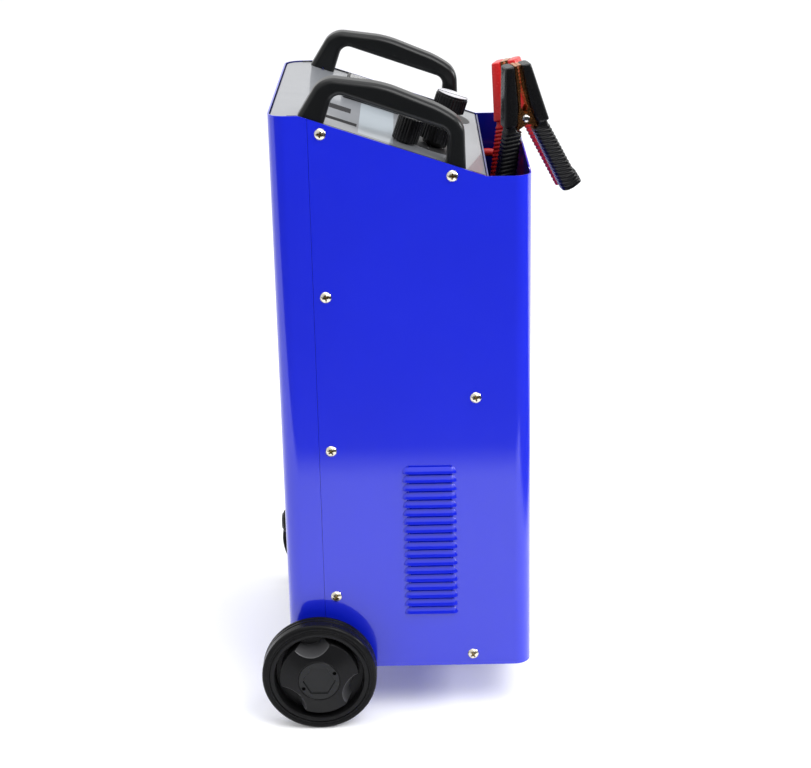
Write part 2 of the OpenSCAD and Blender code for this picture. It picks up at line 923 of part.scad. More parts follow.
// Wheel pieces stand on the X axis, inner face of the tyre at x = 0, outer face at +X
module about_x() {
    rotate([0, 90, 0])
        rotate([0, 0, 180])
            children();
}
module hub() {
    seat = hub_front - cap_t;
    pocket = seat - nut_t - nut_play - fit_gap;
    color(charcoal)
        about_x()
            difference() {
                union() {
                    rotate_extrude()
                        polygon([[0, -hub_back], [hub_r, -hub_back], [hub_r, web_x],
                            [rim_out_r - rim_t, web_x], [rim_out_r - rim_t, rim_edge],
                            [rim_out_r, rim_edge], [rim_out_r, tyre_w - rim_edge],
                            [rim_out_r - rim_t, tyre_w - rim_edge],
                            [rim_out_r - rim_t, web_x + web_t], [0, web_x + web_t]]);
                    difference() {
                        rotate_extrude()
                            polygon([[0, web_x], [lobe_r, web_x], [lobe_r, tyre_w],
                                [cap_dia / 2 + boss_edge, hub_front], [0, hub_front]]);
                        for (i = [0:bay_count - 1])
                            rotate([0, 0, bay_turn + 360 * i / bay_count])
                                translate([bay_reach, 0, web_x + web_t])
                                    cylinder(r1 = bay_floor_r, r2 = bay_r,
                                        h = hub_front - web_x - web_t + eps);
                    }
                }
                translate([0, 0, seat])
                    cylinder(d = cap_dia + 2 * cap_seat_play, h = cap_t + eps);
                translate([0, 0, pocket])
                    cylinder(r = nut_r + nut_play, h = hub_front);
                translate([0, 0, -2 * hub_back])
                    cylinder(d = axle_dia + 2 * axle_play, h = 2 * hub_front);
            }
}
module tyre() {
    color(black_rubber)
        about_x()
            difference() {
                rotate_extrude($fn = 96) {
                    translate([rim_out_r, 0])
                        square([tyre_t - tyre_round, tyre_w]);
                    translate([rim_out_r, tyre_round])
                        square([tyre_t, tyre_w - 2 * tyre_round]);
                    for (x = [tyre_round, tyre_w - tyre_round])
                        translate([wheel_r - tyre_round, x])
                            circle(tyre_round);
                }
                for (place = groove_places)
                    translate([0, 0, place])
                        rotate_extrude($fn = 96)
                            translate([wheel_r - groove_d, -groove_w / 2])
                                square([2 * groove_d, groove_w]);
            }
}
module hub_cap() {
    color(charcoal)
        about_x()
            translate([0, 0, hub_front - cap_t])
                difference() {
                    cylinder(d = cap_dia, h = cap_t);
                    translate([0, 0, cap_t - hex_depth])
                        rotate([0, 0, hex_turn])
                            cylinder(d = cap_hex, h = cap_t, $fn = 6);
                    translate([0, 0, cap_t - hex_depth - dimple_depth])
                        cylinder(d1 = dimple_dia / 3, d2 = dimple_dia, h = 2 * dimple_depth);
                    for (turn = [pry_turn, pry_turn + 180])
                        rotate([0, 0, turn])
                            translate([cap_dia / 2 - pry_edge - pry_r, 0, -eps])
                                cylinder(r = pry_r, h = 2 * cap_t);
                }
}
module at_wheel(side) {
    translate([side * tyre_in_x, axle_y, axle_z])
        mirror([side < 0 ? 1 : 0, 0, 0])
            children();
}
module hub_left() {
    at_wheel(-1)
        hub();
}
module tyre_left() {
    at_wheel(-1)
        tyre();
}
module cap_left() {
    at_wheel(-1)
        hub_cap();
}
module hub_right() {
    at_wheel(1)
        hub();
}
module tyre_right() {
    at_wheel(1)
        tyre();
}
module cap_right() {
    at_wheel(1)
        hub_cap();
}

module mains_gland() {
    color(charcoal)
        translate([0, rear_y, gland_z])
            rotate([-90, 0, 0])
                difference() {
                    union() {
                        cylinder(d = gland_nut, h = gland_nut_t, $fn = 6);
                        cylinder(d = gland_dia, h = gland_len);
                        translate([0, 0, -gland_tail])
                            cylinder(d = gland_thread, h = gland_tail + eps);
                        translate([0, 0, -sheet - gland_nut_t])
                            cylinder(d = gland_nut, h = gland_nut_t, $fn = 6);
                    }
                    translate([0, 0, -2 * gland_tail])
                        cylinder(d = gland_bore, h = 4 * gland_len);
                }
}

// Meter pieces, z = 0 at the panel's face, -Y down the slope
module meter_case() {
    color(charcoal)
        on_panel(meter_x, meter_u)
            difference() {
                union() {
                    translate([-meter_w / 2, -meter_len / 2, 0])
                        cube([meter_w, meter_len, meter_proud]);
                    translate([0, 0, -meter_can_h])
                        cylinder(d = meter_can, h = meter_can_h + eps);
                }
                translate([-meter_w / 2 + meter_wall, -meter_len / 2 + meter_wall, dial_z - dial_t])
                    cube([meter_w - 2 * meter_wall, meter_len - 2 * meter_wall, meter_proud]);
                translate([0, -needle_u, dial_z - dial_t - needle_pin])
                    cylinder(d = needle_pin + 2 * fit_gap, h = meter_proud);
            }
}
module meter_dial() {
    color("white")
        on_panel(meter_x, meter_u)
            translate([0, 0, dial_z - dial_t])
                difference() {
                    translate([-meter_w / 2 + meter_wall, -meter_len / 2 + meter_wall, 0])
                        cube([meter_w - 2 * meter_wall, meter_len - 2 * meter_wall, dial_t]);
                    translate([0, -needle_u, -eps])
                        cylinder(d = needle_pin + 2 * fit_gap, h = 2 * dial_t);
                }
}
module meter_needle() {
    color("black")
        on_panel(meter_x, meter_u)
            translate([0, -needle_u, dial_z])
                rotate([0, 0, needle_sweep / 2]) {
                    translate([-needle_w / 2, -needle_tail, needle_lift])
                        cube([needle_w, needle_len + needle_tail, needle_t]);
                    translate([0, 0, -dial_t - needle_pin + needle_play])
                        cylinder(d = needle_pin, h = dial_t + needle_pin + needle_lift + needle_t);
                }
}
module meter_window() {
    color([0.85, 0.9, 0.95, 0.4])
        on_panel(meter_x, meter_u)
            translate([-meter_w / 2 + meter_wall, -meter_len / 2 + meter_wall,
                meter_proud - window_t])
                cube([meter_w - 2 * meter_wall, meter_len - 2 * meter_wall, window_t]);
}

// Knob with a metal cap, and the switch that it turns
module spindle() {
    translate([0, 0, -spindle_len])
        cylinder(d = spindle_dia, h = spindle_len + knob_under);
}
module fluted(dia, z0, z1) {
    difference() {
        translate([0, 0, z0])
            cylinder(d = dia, h = z1 - z0);
        for (i = [0:flute_count - 1])
            rotate([0, 0, 360 * i / flute_count])
                translate([dia / 2 + flute_r / 2, 0, z0 - eps])
                    cylinder(r = flute_r, h = z1 - z0 + 2 * eps);
    }
}
module capped_knob() {
    color(charcoal)
        difference() {
            union() {
                fluted(knob_dia, knob_under, knob_top - knob_rim / 2);
                translate([0, 0, knob_gap])
                    cylinder(d = knob_neck, h = knob_under - knob_gap + eps);
                spindle();
            }
            difference() {
                cylinder(d = skirt_bore, h = skirt_top);
                translate([0, 0, -eps])
                    cylinder(d = spindle_dia, h = 2 * knob_under);
            }
            translate([0, 0, knob_top - knob_cap_t])
                cylinder(d = knob_dia - 2 * knob_rim, h = knob_top);
        }
}
module knob_cap() {
    color(steel)
        difference() {
            translate([0, 0, knob_top - knob_cap_t])
                cylinder(d = knob_dia - 2 * knob_rim - 2 * cap_seat_play, h = knob_cap_t);
            translate([-knob_groove / 2, -knob_dia, knob_top - knob_cap_t / 2])
                cube([knob_groove, 2 * knob_dia, knob_cap_t]);
        }
}
module rotary_switch() {
    color("tan")
        difference() {
            union() {
                translate([-switch_w / 2, -switch_w / 2, -sheet - switch_h])
                    cube([switch_w, switch_w, switch_h]);
                translate([0, 0, -sheet - eps])
                    cylinder(d = bush_dia, h = sheet + bush_top + eps);
                cylinder(d = bush_nut, h = bush_nut_h, $fn = 6);
            }
            translate([0, 0, -switch_pit])
                cylinder(d = spindle_dia + 2 * spindle_play, h = 2 * switch_pit);
        }
}
module charge_knob() {
    on_panel(charge_x, charge_u)
        capped_knob();
}
module charge_cap() {
    on_panel(charge_x, charge_u)
        knob_cap();
}
module charge_switch() {
    on_panel(charge_x, charge_u)
        rotary_switch();
}
module voltage_knob() {
    on_panel(voltage_x, voltage_u)
        capped_knob();
}
module voltage_cap() {
    on_panel(voltage_x, voltage_u)
        knob_cap();
}
module voltage_switch() {
    on_panel(voltage_x, voltage_u)
        rotary_switch();
}
module selector_knob() {
    color(charcoal)
        on_panel(selector_x, selector_u)
            difference() {
                union() {
                    fluted(selector_dia, knob_gap, selector_top);
                    spindle();
                }
                difference() {
                    cylinder(d = skirt_bore, h = skirt_top);
                    translate([0, 0, -eps])
                        cylinder(d = spindle_dia, h = 2 * knob_under);
                }
            }
}
module selector_switch() {
    on_panel(selector_x, selector_u)
        rotary_switch();
}

module breaker_body() {
    color(charcoal)
        on_panel(0, breaker_u)
            difference() {
                union() {
                    translate([-breaker_w / 2, -breaker_w / 2, -sheet - breaker_h])
                        cube([breaker_w, breaker_w, breaker_h]);
                    translate([0, 0, -sheet - eps])
                        cylinder(d = breaker_neck, h = sheet + 2 * eps);
                    cylinder(d = breaker_bush, h = breaker_bush_h);
                }
                translate([0, 0, breaker_bush_h + button_proud - button_len - button_travel - button_floor])
                    cylinder(d = button_dia + 2 * button_play, h = 2 * button_len);
            }
}
module breaker_button() {
    color(red)
        on_panel(0, breaker_u)
            translate([0, 0, breaker_bush_h + button_proud - button_len])
                cylinder(d = button_dia, h = button_len);
}

// Transformer: shell core with both windings on the middle leg
module core() {
    color(steel)
        translate([0, core_y, core_z])
            difference() {
                translate([-core_w / 2, -core_d / 2, 0])
                    cube([core_w, core_d, core_h]);
                for (sx = [-1, 1])
                    translate([sx * (leg_w / 2 + window_w / 2) - window_w / 2, -core_d, yoke])
                        cube([window_w, 2 * core_d, window_h]);
            }
}
module winding(inner, outer) {
    translate([0, core_y, core_z + yoke + wind_gap])
        difference() {
            translate([-leg_w / 2 - outer, -core_d / 2 - outer, 0])
                cube([leg_w + 2 * outer, core_d + 2 * outer, window_h - 2 * wind_gap]);
            translate([-leg_w / 2 - inner, -core_d / 2 - inner, -eps])
                cube([leg_w + 2 * inner, core_d + 2 * inner, window_h]);
        }
}
module primary_winding() {
    color(copper)
        winding(fit_gap, layer_t);
}
module secondary_winding() {
    color(copper)
        winding(layer_t + fit_gap, 2 * layer_t);
}
module core_brackets() {
    color(steel)
        for (sy = [0, 1])
            translate([0, core_y, floor_z])
                mirror([0, sy, 0]) {
                    translate([-core_w / 2, core_d / 2 - bracket_w / 2, 0])
                        cube([core_w, bracket_w, bracket_t]);
                    translate([-core_w / 2, core_d / 2, 0])
                        cube([core_w, bracket_t, bracket_h]);
                }
}

module heat_sink() {
    plate_y = tray_back_y + sink_post;
    color(steel)
        translate([0, plate_y, sink_z]) {
            translate([-sink_w / 2, 0, 0])
                cube([sink_w, sink_t, sink_h]);
            for (i = [0:fin_count - 1])
                translate([-sink_w / 2 + i * (sink_w - fin_t) / (fin_count - 1), sink_t - eps, 0])
                    cube([fin_t, fin_len + eps, fin_h]);
            for (sx = [-1, 1], z = [sink_post_dia, sink_h - sink_post_dia])
                translate([sx * (sink_w / 2 - sink_post_dia), eps, z])
                    rotate([90, 0, 0])
                        cylinder(d = sink_post_dia, h = sink_post + eps);
        }
}
module diodes() {
    color(steel)
        for (i = [0:diode_count - 1])
            translate([(i - (diode_count - 1) / 2) * diode_step, tray_back_y + sink_post + sink_t,
                sink_z + fin_h + (sink_h - fin_h) / 2])
                rotate([-90, 0, 0]) {
                    cylinder(d = diode_dia, h = diode_h);
                    cylinder(d = diode_pin, h = 2 * diode_h);
                }
}

// Ends of the leads behind the pocket's wall
module lead_terminals() {
    color("gold")
        for (x = lead_x) {
            difference() {
                translate([x, lug_y - lug_len / 2, lead_z])
                    rotate([-90, 0, 0])
                        cylinder(d = lug_dia, h = lug_len);
                translate([x, lug_y - lug_len, lead_z])
                    rotate([-90, 0, 0])
                        cylinder(d = lead_dia + fit_gap, h = lug_len);
            }
            translate([x - lug_w / 2, lug_y + lug_len / 2 - lug_t, lead_z])
                cube([lug_w, lug_t, block_z + block_h - lead_z]);
        }
}
module terminal_blocks() {
    color("saddlebrown")
        for (x = lead_x)
            translate([x - block_w / 2, tray_back_y, block_z])
                cube([block_w, lug_y + lug_len / 2 - lug_t - tray_back_y, block_h]);
}
module lead_grommets() {
    color(black_rubber)
        for (x = lead_x)
            translate([x, tray_back_y - sheet / 2, lead_z])
                rotate([90, 0, 0])
                    difference() {
                        cylinder(d = grommet_dia, h = grommet_t, center = true);
                        cylinder(d = lead_dia + fit_gap, h = 2 * grommet_t, center = true);
                        difference() {
                            cylinder(d = 2 * grommet_dia, h = sheet, center = true);
                            cylinder(d = grommet_neck, h = 2 * sheet, center = true);
                        }
                    }
}

// Coil of a lead: spirals in, climbs one layer in half a turn, spirals out again
coil_turns = 2 * spiral_turns + climb_turns;
function coil_radius(s) =
    s < spiral_turns ? coil_r - coil_step * s
    : s < spiral_turns + climb_turns ? coil_r - coil_step * spiral_turns
    : coil_r - coil_step * (coil_turns - s);
function coil_layer(s) =
    let (share = min(max((s - spiral_turns) / climb_turns, 0), 1))
    coil_y + layer_step * (1 - cos(180 * share)) / 2;
function coil_point(s, x, hand) =
    [x - hand * coil_radius(s) * cos(360 * s), coil_layer(s), coil_z - coil_radius(s) * sin(360 * s)];
function coil_turn_points(x, hand) =
    [for (i = [0:coil_turns * rings_per_turn]) coil_point(i / rings_per_turn, x, hand)];
function coil_route(x, hand) =
    concat([[x - hand * coil_r, coil_y, coil_z + lead_dia]], coil_turn_points(x, hand),
        [[x + hand * coil_r, coil_y + layer_step, coil_z + lead_dia]]);
function least_gap(points, skip, dia) =
    min([for (i = [0:len(points) - 1 - skip], j = [i + skip:len(points) - 1])
        norm(points[i] - points[j])]) - dia;
echo(least_gap_in_a_lead_coil = least_gap(coil_turn_points(0, 1), rings_per_turn / 2, lead_dia));

// Feed: straight through the wall, a quarter bend, straight down to the coil
function feed_route(x) =
    let (bend_y = coil_y + lead_bend, end_z = coil_z + lead_dia)
    let (drop_z = lead_z - lead_bend)
    concat([[x, lug_y, lead_z], [x, tray_back_y + grommet_t / 2, lead_z], [x, bend_y, lead_z]],
        [for (turn = [30, 60, 90])
            [x, bend_y - lead_bend * sin(turn), drop_z + lead_bend * cos(turn)]],
        [for (i = [1:feed_steps]) [x, coil_y, drop_z + (end_z - drop_z) * i / feed_steps]]);
// Tail: a smooth curve from the coil's end, straight up, to the seat in the clamp's arm
function clamp_point(pivot, turn, lean, b, a) =
    let (back = b * cos(lean) + a * sin(lean))
    pivot + [-back * sin(turn), back * cos(turn), a * cos(lean) - b * sin(lean)];
function curve(p, p_pull, q, q_pull, s) =
    let (h = 3 * s * s - 2 * s * s * s)
    p + h * (q - p) + (s - 2 * s * s + s * s * s) * p_pull + (s * s * s - s * s) * q_pull;
function tail_route(x, pivot, turn, lean) =
    let (start = [x, coil_y + layer_step, coil_z + lead_dia], rise = start + [0, 0, lead_dia])
    let (inlet = clamp_point(pivot, turn, lean, seat_b, -grip_len))
    let (into = unit(clamp_point(pivot, turn, lean, seat_top_b, crotch_a) - inlet))
    let (mouth = inlet - 2 * lead_dia * into, reach = norm(mouth - rise))
    concat([start],
        [for (i = [0:tail_steps]) curve(rise, [0, 0, reach], mouth, into * reach, i / tail_steps)],
        [inlet, inlet + into * lead_seat]);
module feed(x, tint) {
    color(tint)
        tube(feed_route(x), [1, 0, 0], lead_dia / 2, lead_sides);
}
module wound(x, hand, tint) {
    color(tint)
        tube(coil_route(x, hand), [0, 1, 0], lead_dia / 2, coil_sides);
}
module tail(route, tint) {
    color(tint)
        tube(route, [0, 1, 0], lead_dia / 2, lead_sides);
}
module black_lead() {
    feed(lead_x[0], black_rubber);
}
module black_coil() {
    wound(coil_x[0], 1, black_rubber);
}
module black_tail() {
    tail(tail_route(coil_x[0] + coil_r, black_pivot, black_turn, black_lean), black_rubber);
}
module red_lead() {
    feed(lead_x[1], red);
}
module red_coil() {
    wound(coil_x[1], -1, red);
}
module red_tail() {
    tail(tail_route(coil_x[1] - coil_r, red_pivot, red_turn, red_lean), red);
}

// Clamp pieces: pivot at the origin, Z up the middle line, the rear arm on the +Y side
module at_clamp(pivot, turn, lean) {
    translate(pivot)
        rotate([0, 0, turn])
            rotate([-lean, 0, 0])
                children();
}
module profile_x(width) {
    rotate([90, 0, 90])
        linear_extrude(width, center = true)
            children();
}
function grip_edge(a) = grip_out - cover_step / 2
    - (grip_out - shoulder_out + cover_step) * (grip_len + a) / (grip_len + shoulder_a);
module arm(with_lead) {
    rib_step = (grip_len + shoulder_a - rib_start - rib_end) / rib_count;
    difference() {
        union() {
            profile_x(clamp_w)
                polygon([[nose_in, nose_len], [nose_out, nose_len], [shoulder_out, shoulder_a],
                    [throat_in, throat_a], [neck_in, neck_a]]);
            profile_x(clamp_w - 2 * grip_side)
                polygon([[throat_in, throat_a], [neck_in + cover_lap, neck_a],
                    [shoulder_out - cover_lap, neck_a], [shoulder_out - cover_step, shoulder_a],
                    [grip_out, -grip_len + grip_heel], [grip_out - grip_notch_in, -grip_len - grip_notch],
                    [grip_in, -grip_len], [crotch_in, crotch_a]]);
        }
        for (i = [0:rib_count - 1])
            let (a = shoulder_a - rib_start - i * rib_step)
            translate([0, grip_edge(a) + rib_lift, a])
                rotate([0, 90, 0])
                    cylinder(r = rib_r, h = 2 * clamp_w, center = true);
        if (with_lead)
            translate([0, seat_b, -grip_len])
                rotate([seat_turn, 0, 0])
                    translate([0, 0, -lead_seat])
                        cylinder(d = lead_dia + lead_play, h = 2 * lead_seat + lead_play);
    }
}
module jaw(ear_x, bore) {
    step = tooth_zone / tooth_count;
    teeth = [for (i = [0:tooth_count - 1])
        each [[bite_gap, nose_len - i * step], [bite_gap + tooth_h, nose_len - (i + 0.5) * step]]];
    half_w = ear_x + ear_t;
    color(copper)
        difference() {
            union() {
                profile_x(2 * half_w)
                    polygon(concat([[nose_in, nose_len]], teeth,
                        [[bite_gap, nose_len - tooth_zone],
                        [nose_in - strap_t, nose_len - tooth_zone - tooth_run],
                        [neck_in - strap_t, neck_a], [throat_in - strap_t, throat_a],
                        [throat_in, throat_a], [neck_in, neck_a]]));
                for (sx = [0, 1])
                    mirror([sx, 0, 0])
                        translate([ear_x, 0, 0]) {
                            rotate([0, 90, 0])
                                cylinder(r = ear_r, h = ear_t);
                            rotate([90, 0, 90])
                                linear_extrude(ear_t)
                                    polygon([[0, ear_r], [neck_in - strap_t / 2, neck_a],
                                        [throat_in - strap_t / 2, throat_a], [0, -ear_r]]);
                        }
            }
            rotate([0, 90, 0])
                cylinder(d = bore, h = 4 * half_w, center = true);
        }
}
module rivet() {
    reach = rear_ear_x + ear_t;
    color(steel)
        rotate([0, 90, 0]) {
            cylinder(d = rivet_dia, h = 2 * reach + eps, center = true);
            for (sx = [0, 1])
                mirror([0, 0, sx])
                    translate([0, 0, reach])
                        cylinder(d = rivet_head, h = rivet_head_h);
        }
}
spring_half = spring_turns * spring_pitch / 2;
spring_points = [for (i = [0:spring_turns * 8])
    [i * spring_pitch / 8 - spring_half, spring_r * cos(45 * i), spring_r * sin(45 * i)]];
spring_route = concat([[-spring_half, spring_r, -spring_leg]], spring_points,
    [[spring_half, spring_r, spring_leg]]);
echo(least_gap_in_a_clamp_spring = least_gap(spring_points, 4, spring_wire));
module spring() {
    color(steel)
        tube(spring_route, [1, 0, 0], spring_wire / 2, 6);
}
module rear_jaw() {
    jaw(rear_ear_x, rivet_dia + rivet_fit);
}
module front_jaw() {
    mirror([0, 1, 0])
        jaw(front_ear_x, rivet_dia + rivet_play);
}
module front_arm() {
    mirror([0, 1, 0])
        arm(false);
}
module black_rear_arm() {
    color(charcoal)
        at_clamp(black_pivot, black_turn, black_lean)
            arm(true);
}
module black_front_arm() {
    color(charcoal)
        at_clamp(black_pivot, black_turn, black_lean)
            front_arm();
}
module black_rear_jaw() {
    at_clamp(black_pivot, black_turn, black_lean)
        rear_jaw();
}
module black_front_jaw() {
    at_clamp(black_pivot, black_turn, black_lean)
        front_jaw();
}
module black_spring() {
    at_clamp(black_pivot, black_turn, black_lean)
        spring();
}
module black_rivet() {
    at_clamp(black_pivot, black_turn, black_lean)
        rivet();
}
module red_rear_arm() {
    color(red)
        at_clamp(red_pivot, red_turn, red_lean)
            arm(true);
}
module red_front_arm() {
    color(red)
        at_clamp(red_pivot, red_turn, red_lean)
            front_arm();
}
module red_rear_jaw() {
    at_clamp(red_pivot, red_turn, red_lean)
        rear_jaw();
}
module red_front_jaw() {
    at_clamp(red_pivot, red_turn, red_lean)
        front_jaw();
}
module red_spring() {
    at_clamp(red_pivot, red_turn, red_lean)
        spring();
}
module red_rivet() {
    at_clamp(red_pivot, red_turn, red_lean)
        rivet();
}

front_shell();
rear_cover();
base_plate();
control_panel();
lead_tray();
front_foot();
foot_pads();
case_screws();
handle_left();
handle_right();
handle_screws();
axle();
hub_left();
tyre_left();
cap_left();
hub_right();
tyre_right();
cap_right();
mains_gland();
meter_case();
meter_dial();
meter_needle();
meter_window();
charge_knob();
charge_cap();
charge_switch();
voltage_knob();
voltage_cap();
voltage_switch();
selector_knob();
selector_switch();
breaker_body();
breaker_button();
core();
primary_winding();
secondary_winding();
core_brackets();
heat_sink();
diodes();
lead_terminals();
terminal_blocks();
lead_grommets();
black_lead();
black_coil();
black_tail();
red_lead();
red_coil();
red_tail();
black_rear_arm();
black_front_arm();
black_rear_jaw();
black_front_jaw();
black_spring();
black_rivet();
red_rear_arm();
red_front_arm();
red_rear_jaw();
red_front_jaw();
red_spring();
red_rivet();
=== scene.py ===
"""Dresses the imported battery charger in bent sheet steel, moulded plastic, rubber and copper."""
import math

import bmesh
import bpy
from bpy.props import FloatProperty, FloatVectorProperty, IntProperty, PointerProperty
from mathutils import Matrix, Vector


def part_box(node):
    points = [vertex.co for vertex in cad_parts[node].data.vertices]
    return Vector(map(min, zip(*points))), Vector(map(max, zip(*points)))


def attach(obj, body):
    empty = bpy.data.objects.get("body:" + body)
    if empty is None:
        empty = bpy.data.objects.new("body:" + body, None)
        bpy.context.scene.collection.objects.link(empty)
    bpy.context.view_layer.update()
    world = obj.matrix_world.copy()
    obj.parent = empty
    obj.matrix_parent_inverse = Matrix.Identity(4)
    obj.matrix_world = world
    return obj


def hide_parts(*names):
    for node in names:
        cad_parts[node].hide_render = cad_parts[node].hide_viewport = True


bl_info = {
    "name": "Wheeled battery charger",
    "version": (1, 0, 0),
    "blender": (4, 5, 0),
    "location": "3D View > Sidebar > Charger",
    "description": "Models and finishes a wheeled battery charger around its packed solids",
    "category": "Add Mesh",
}

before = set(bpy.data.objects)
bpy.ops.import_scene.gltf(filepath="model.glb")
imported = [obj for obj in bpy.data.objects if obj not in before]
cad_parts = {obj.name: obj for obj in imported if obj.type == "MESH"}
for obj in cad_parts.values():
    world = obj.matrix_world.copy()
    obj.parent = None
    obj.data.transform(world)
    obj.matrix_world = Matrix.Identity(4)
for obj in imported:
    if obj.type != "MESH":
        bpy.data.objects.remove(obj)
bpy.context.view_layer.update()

# Places in the cabinet, in metres, as in the part's source
SIDE_X = 0.162
FRONT_Y = -0.14725
REAR_Y = 0.11775
SKIRT_Z = 0.0575
TOP_Z = 0.6725
SEAM_Y = 0.07725
FOLD_Y = 0.08705
POCKET_Y = -0.10205
FIT = 0.0003
TILT = math.radians(19)
RIM_Z = TOP_Z - (FOLD_Y - POCKET_Y) * math.tan(TILT)
PANEL_Z = TOP_Z - 0.001
AXLE_Y = 0.08475
AXLE_Z = 0.0625
WHEEL_X = 0.17
PANEL = Matrix.Translation((0, FOLD_Y, PANEL_Z)) @ Matrix.Rotation(TILT, 4, "X")
CLAMPS = {
    "black": Matrix.Translation((0, FRONT_Y - 0.0014, RIM_Z + 0.027))
    @ Matrix.Rotation(math.radians(10), 4, "Z") @ Matrix.Rotation(math.radians(-9), 4, "X"),
    "red": Matrix.Translation((0.06, FRONT_Y + 0.0035, RIM_Z + 0.0215))
    @ Matrix.Rotation(math.radians(-16.5), 4, "Z") @ Matrix.Rotation(math.radians(-12), 4, "X"),
}
ROOT = "cabinet"
SIDES = {"left": -1, "right": 1}


def on_panel(x, u):
    """The place of a control: x across the slope, u down it from the fold, Z out of it."""
    return PANEL @ Matrix.Translation((x, -u, 0))


def top_at(y):
    """Height of the cabinet's top edge at a depth y."""
    if y >= FOLD_Y:
        return TOP_Z
    return max(RIM_Z, TOP_Z - (FOLD_Y - y) * math.tan(TILT))


# Settings that a user would change

def colour_setting(name, description, default):
    """A colour."""
    return FloatVectorProperty(
        name=name, description=description, subtype="COLOR", min=0, max=1, default=default)


def length_setting(name, description, default):
    """A length in metres."""
    return FloatProperty(name=name, description=description, unit="LENGTH", default=default)


def power_setting(name, description, default):
    """The power of a lamp in watts."""
    return FloatProperty(
        name=name, description=description, subtype="POWER", default=default, min=0)


def count_setting(name, description, default, least):
    """A number of like features."""
    return IntProperty(name=name, description=description, default=default, min=least)


class CabinetSettings(bpy.types.PropertyGroup):
    """Sheet, louvres and paint of the cabinet."""

    paint: colour_setting("Paint", "Colour of the cabinet's gloss paint", (0.004, 0.013, 0.54))
    sheet: length_setting("Sheet", "Thickness of the sheet steel", 0.0015)
    corner: length_setting("Corner", "Radius of the upright corners", 0.018)
    edge: length_setting("Edge", "Rounding of the cut edges", 0.0004)
    louvres: count_setting("Louvres", "Number of louvres on each side", 18, 1)
    louvre_length: length_setting("Louvre length", "Length of a side louvre", 0.058)
    louvre_pitch: length_setting("Louvre spacing", "Spacing of the side louvres", 0.0097)
    louvre_height: length_setting(
        "Louvre height", "Height of a louvre with its top crease", 0.0088)
    louvre_proud: length_setting("Louvre reach", "How far a louvre stands out", 0.0036)


class ControlSettings(bpy.types.PropertyGroup):
    """Panel, handles and controls."""

    panel: colour_setting("Panel", "Colour of the panel's satin paint", (0.22, 0.23, 0.25))
    print_ink: colour_setting("Ink", "Colour of the panel's printing", (0.012, 0.012, 0.014))
    plastic: colour_setting("Plastic", "Colour of the handles and knobs", (0.0045, 0.005, 0.0055))
    handle_width: length_setting("Handle width", "Thickness of a handle across the cabinet", 0.026)
    handle_round: length_setting("Handle rounding", "Rounding of a handle's long edges", 0.006)
    flutes: count_setting("Flutes", "Number of flutes round a knob", 30, 12)


class WheelSettings(bpy.types.PropertyGroup):
    """Tyres and hubs."""

    radius: length_setting("Radius", "Radius of a wheel", 0.0625)
    width: length_setting("Width", "Width of a tyre", 0.026)
    rubber: colour_setting("Rubber", "Colour of the tyres", (0.005, 0.005, 0.0055))
    hub: colour_setting("Hub", "Colour of the hubs", (0.005, 0.005, 0.0055))


class LeadSettings(bpy.types.PropertyGroup):
    """Charging leads and clamps."""

    diameter: length_setting("Lead diameter", "Outer diameter of a charging lead", 0.0095)
    ribs: count_setting("Ribs", "Number of ribs on a clamp's grip", 17, 4)
    black: colour_setting("Black", "Colour of the black lead and clamp", (0.0035, 0.0035, 0.004))
    red: colour_setting("Red", "Colour of the red lead and clamp", (0.56, 0.016, 0.016))
    copper: colour_setting("Copper", "Colour of the clamps' jaws", (0.85, 0.36, 0.12))


class StageSettings(bpy.types.PropertyGroup):
    """Floor and light."""

    floor: colour_setting("Floor", "Colour of the floor", (0.86, 0.865, 0.88))
    floor_glow: FloatProperty(
        name="Floor glow", description="Light that comes up through the floor", default=0.15, min=0)
    sky: FloatProperty(
        name="Surround", description="Brightness of the white surround", default=1.0, min=0)
    key: power_setting("Key light", "Power of the main softbox", 62)
    spark: power_setting("Spark", "Power of the small lamp at the front", 45)
    top: power_setting("Top light", "Power of the overhead softbox", 22)


# Shader nodes written as expressions

class Wire:
    """The output of a shader node, which takes part in Python expressions."""

    def __init__(self, finish, socket):
        self.finish = finish
        self.socket = socket

    def math(self, operation, *values):
        """One Math node on these values."""
        return self.finish.node("ShaderNodeMath", {"operation": operation}, dict(enumerate(values)))

    def __add__(self, other):
        return self.math("ADD", self, other)

    def __sub__(self, other):
        return self.math("SUBTRACT", self, other)

    def __rsub__(self, other):
        return self.math("SUBTRACT", other, self)

    def __mul__(self, other):
        return self.math("MULTIPLY", self, other)

    def __gt__(self, other):
        return self.math("GREATER_THAN", self, other)

    def __lt__(self, other):
        return self.math("LESS_THAN", self, other)

    __radd__ = __add__
    __rmul__ = __mul__


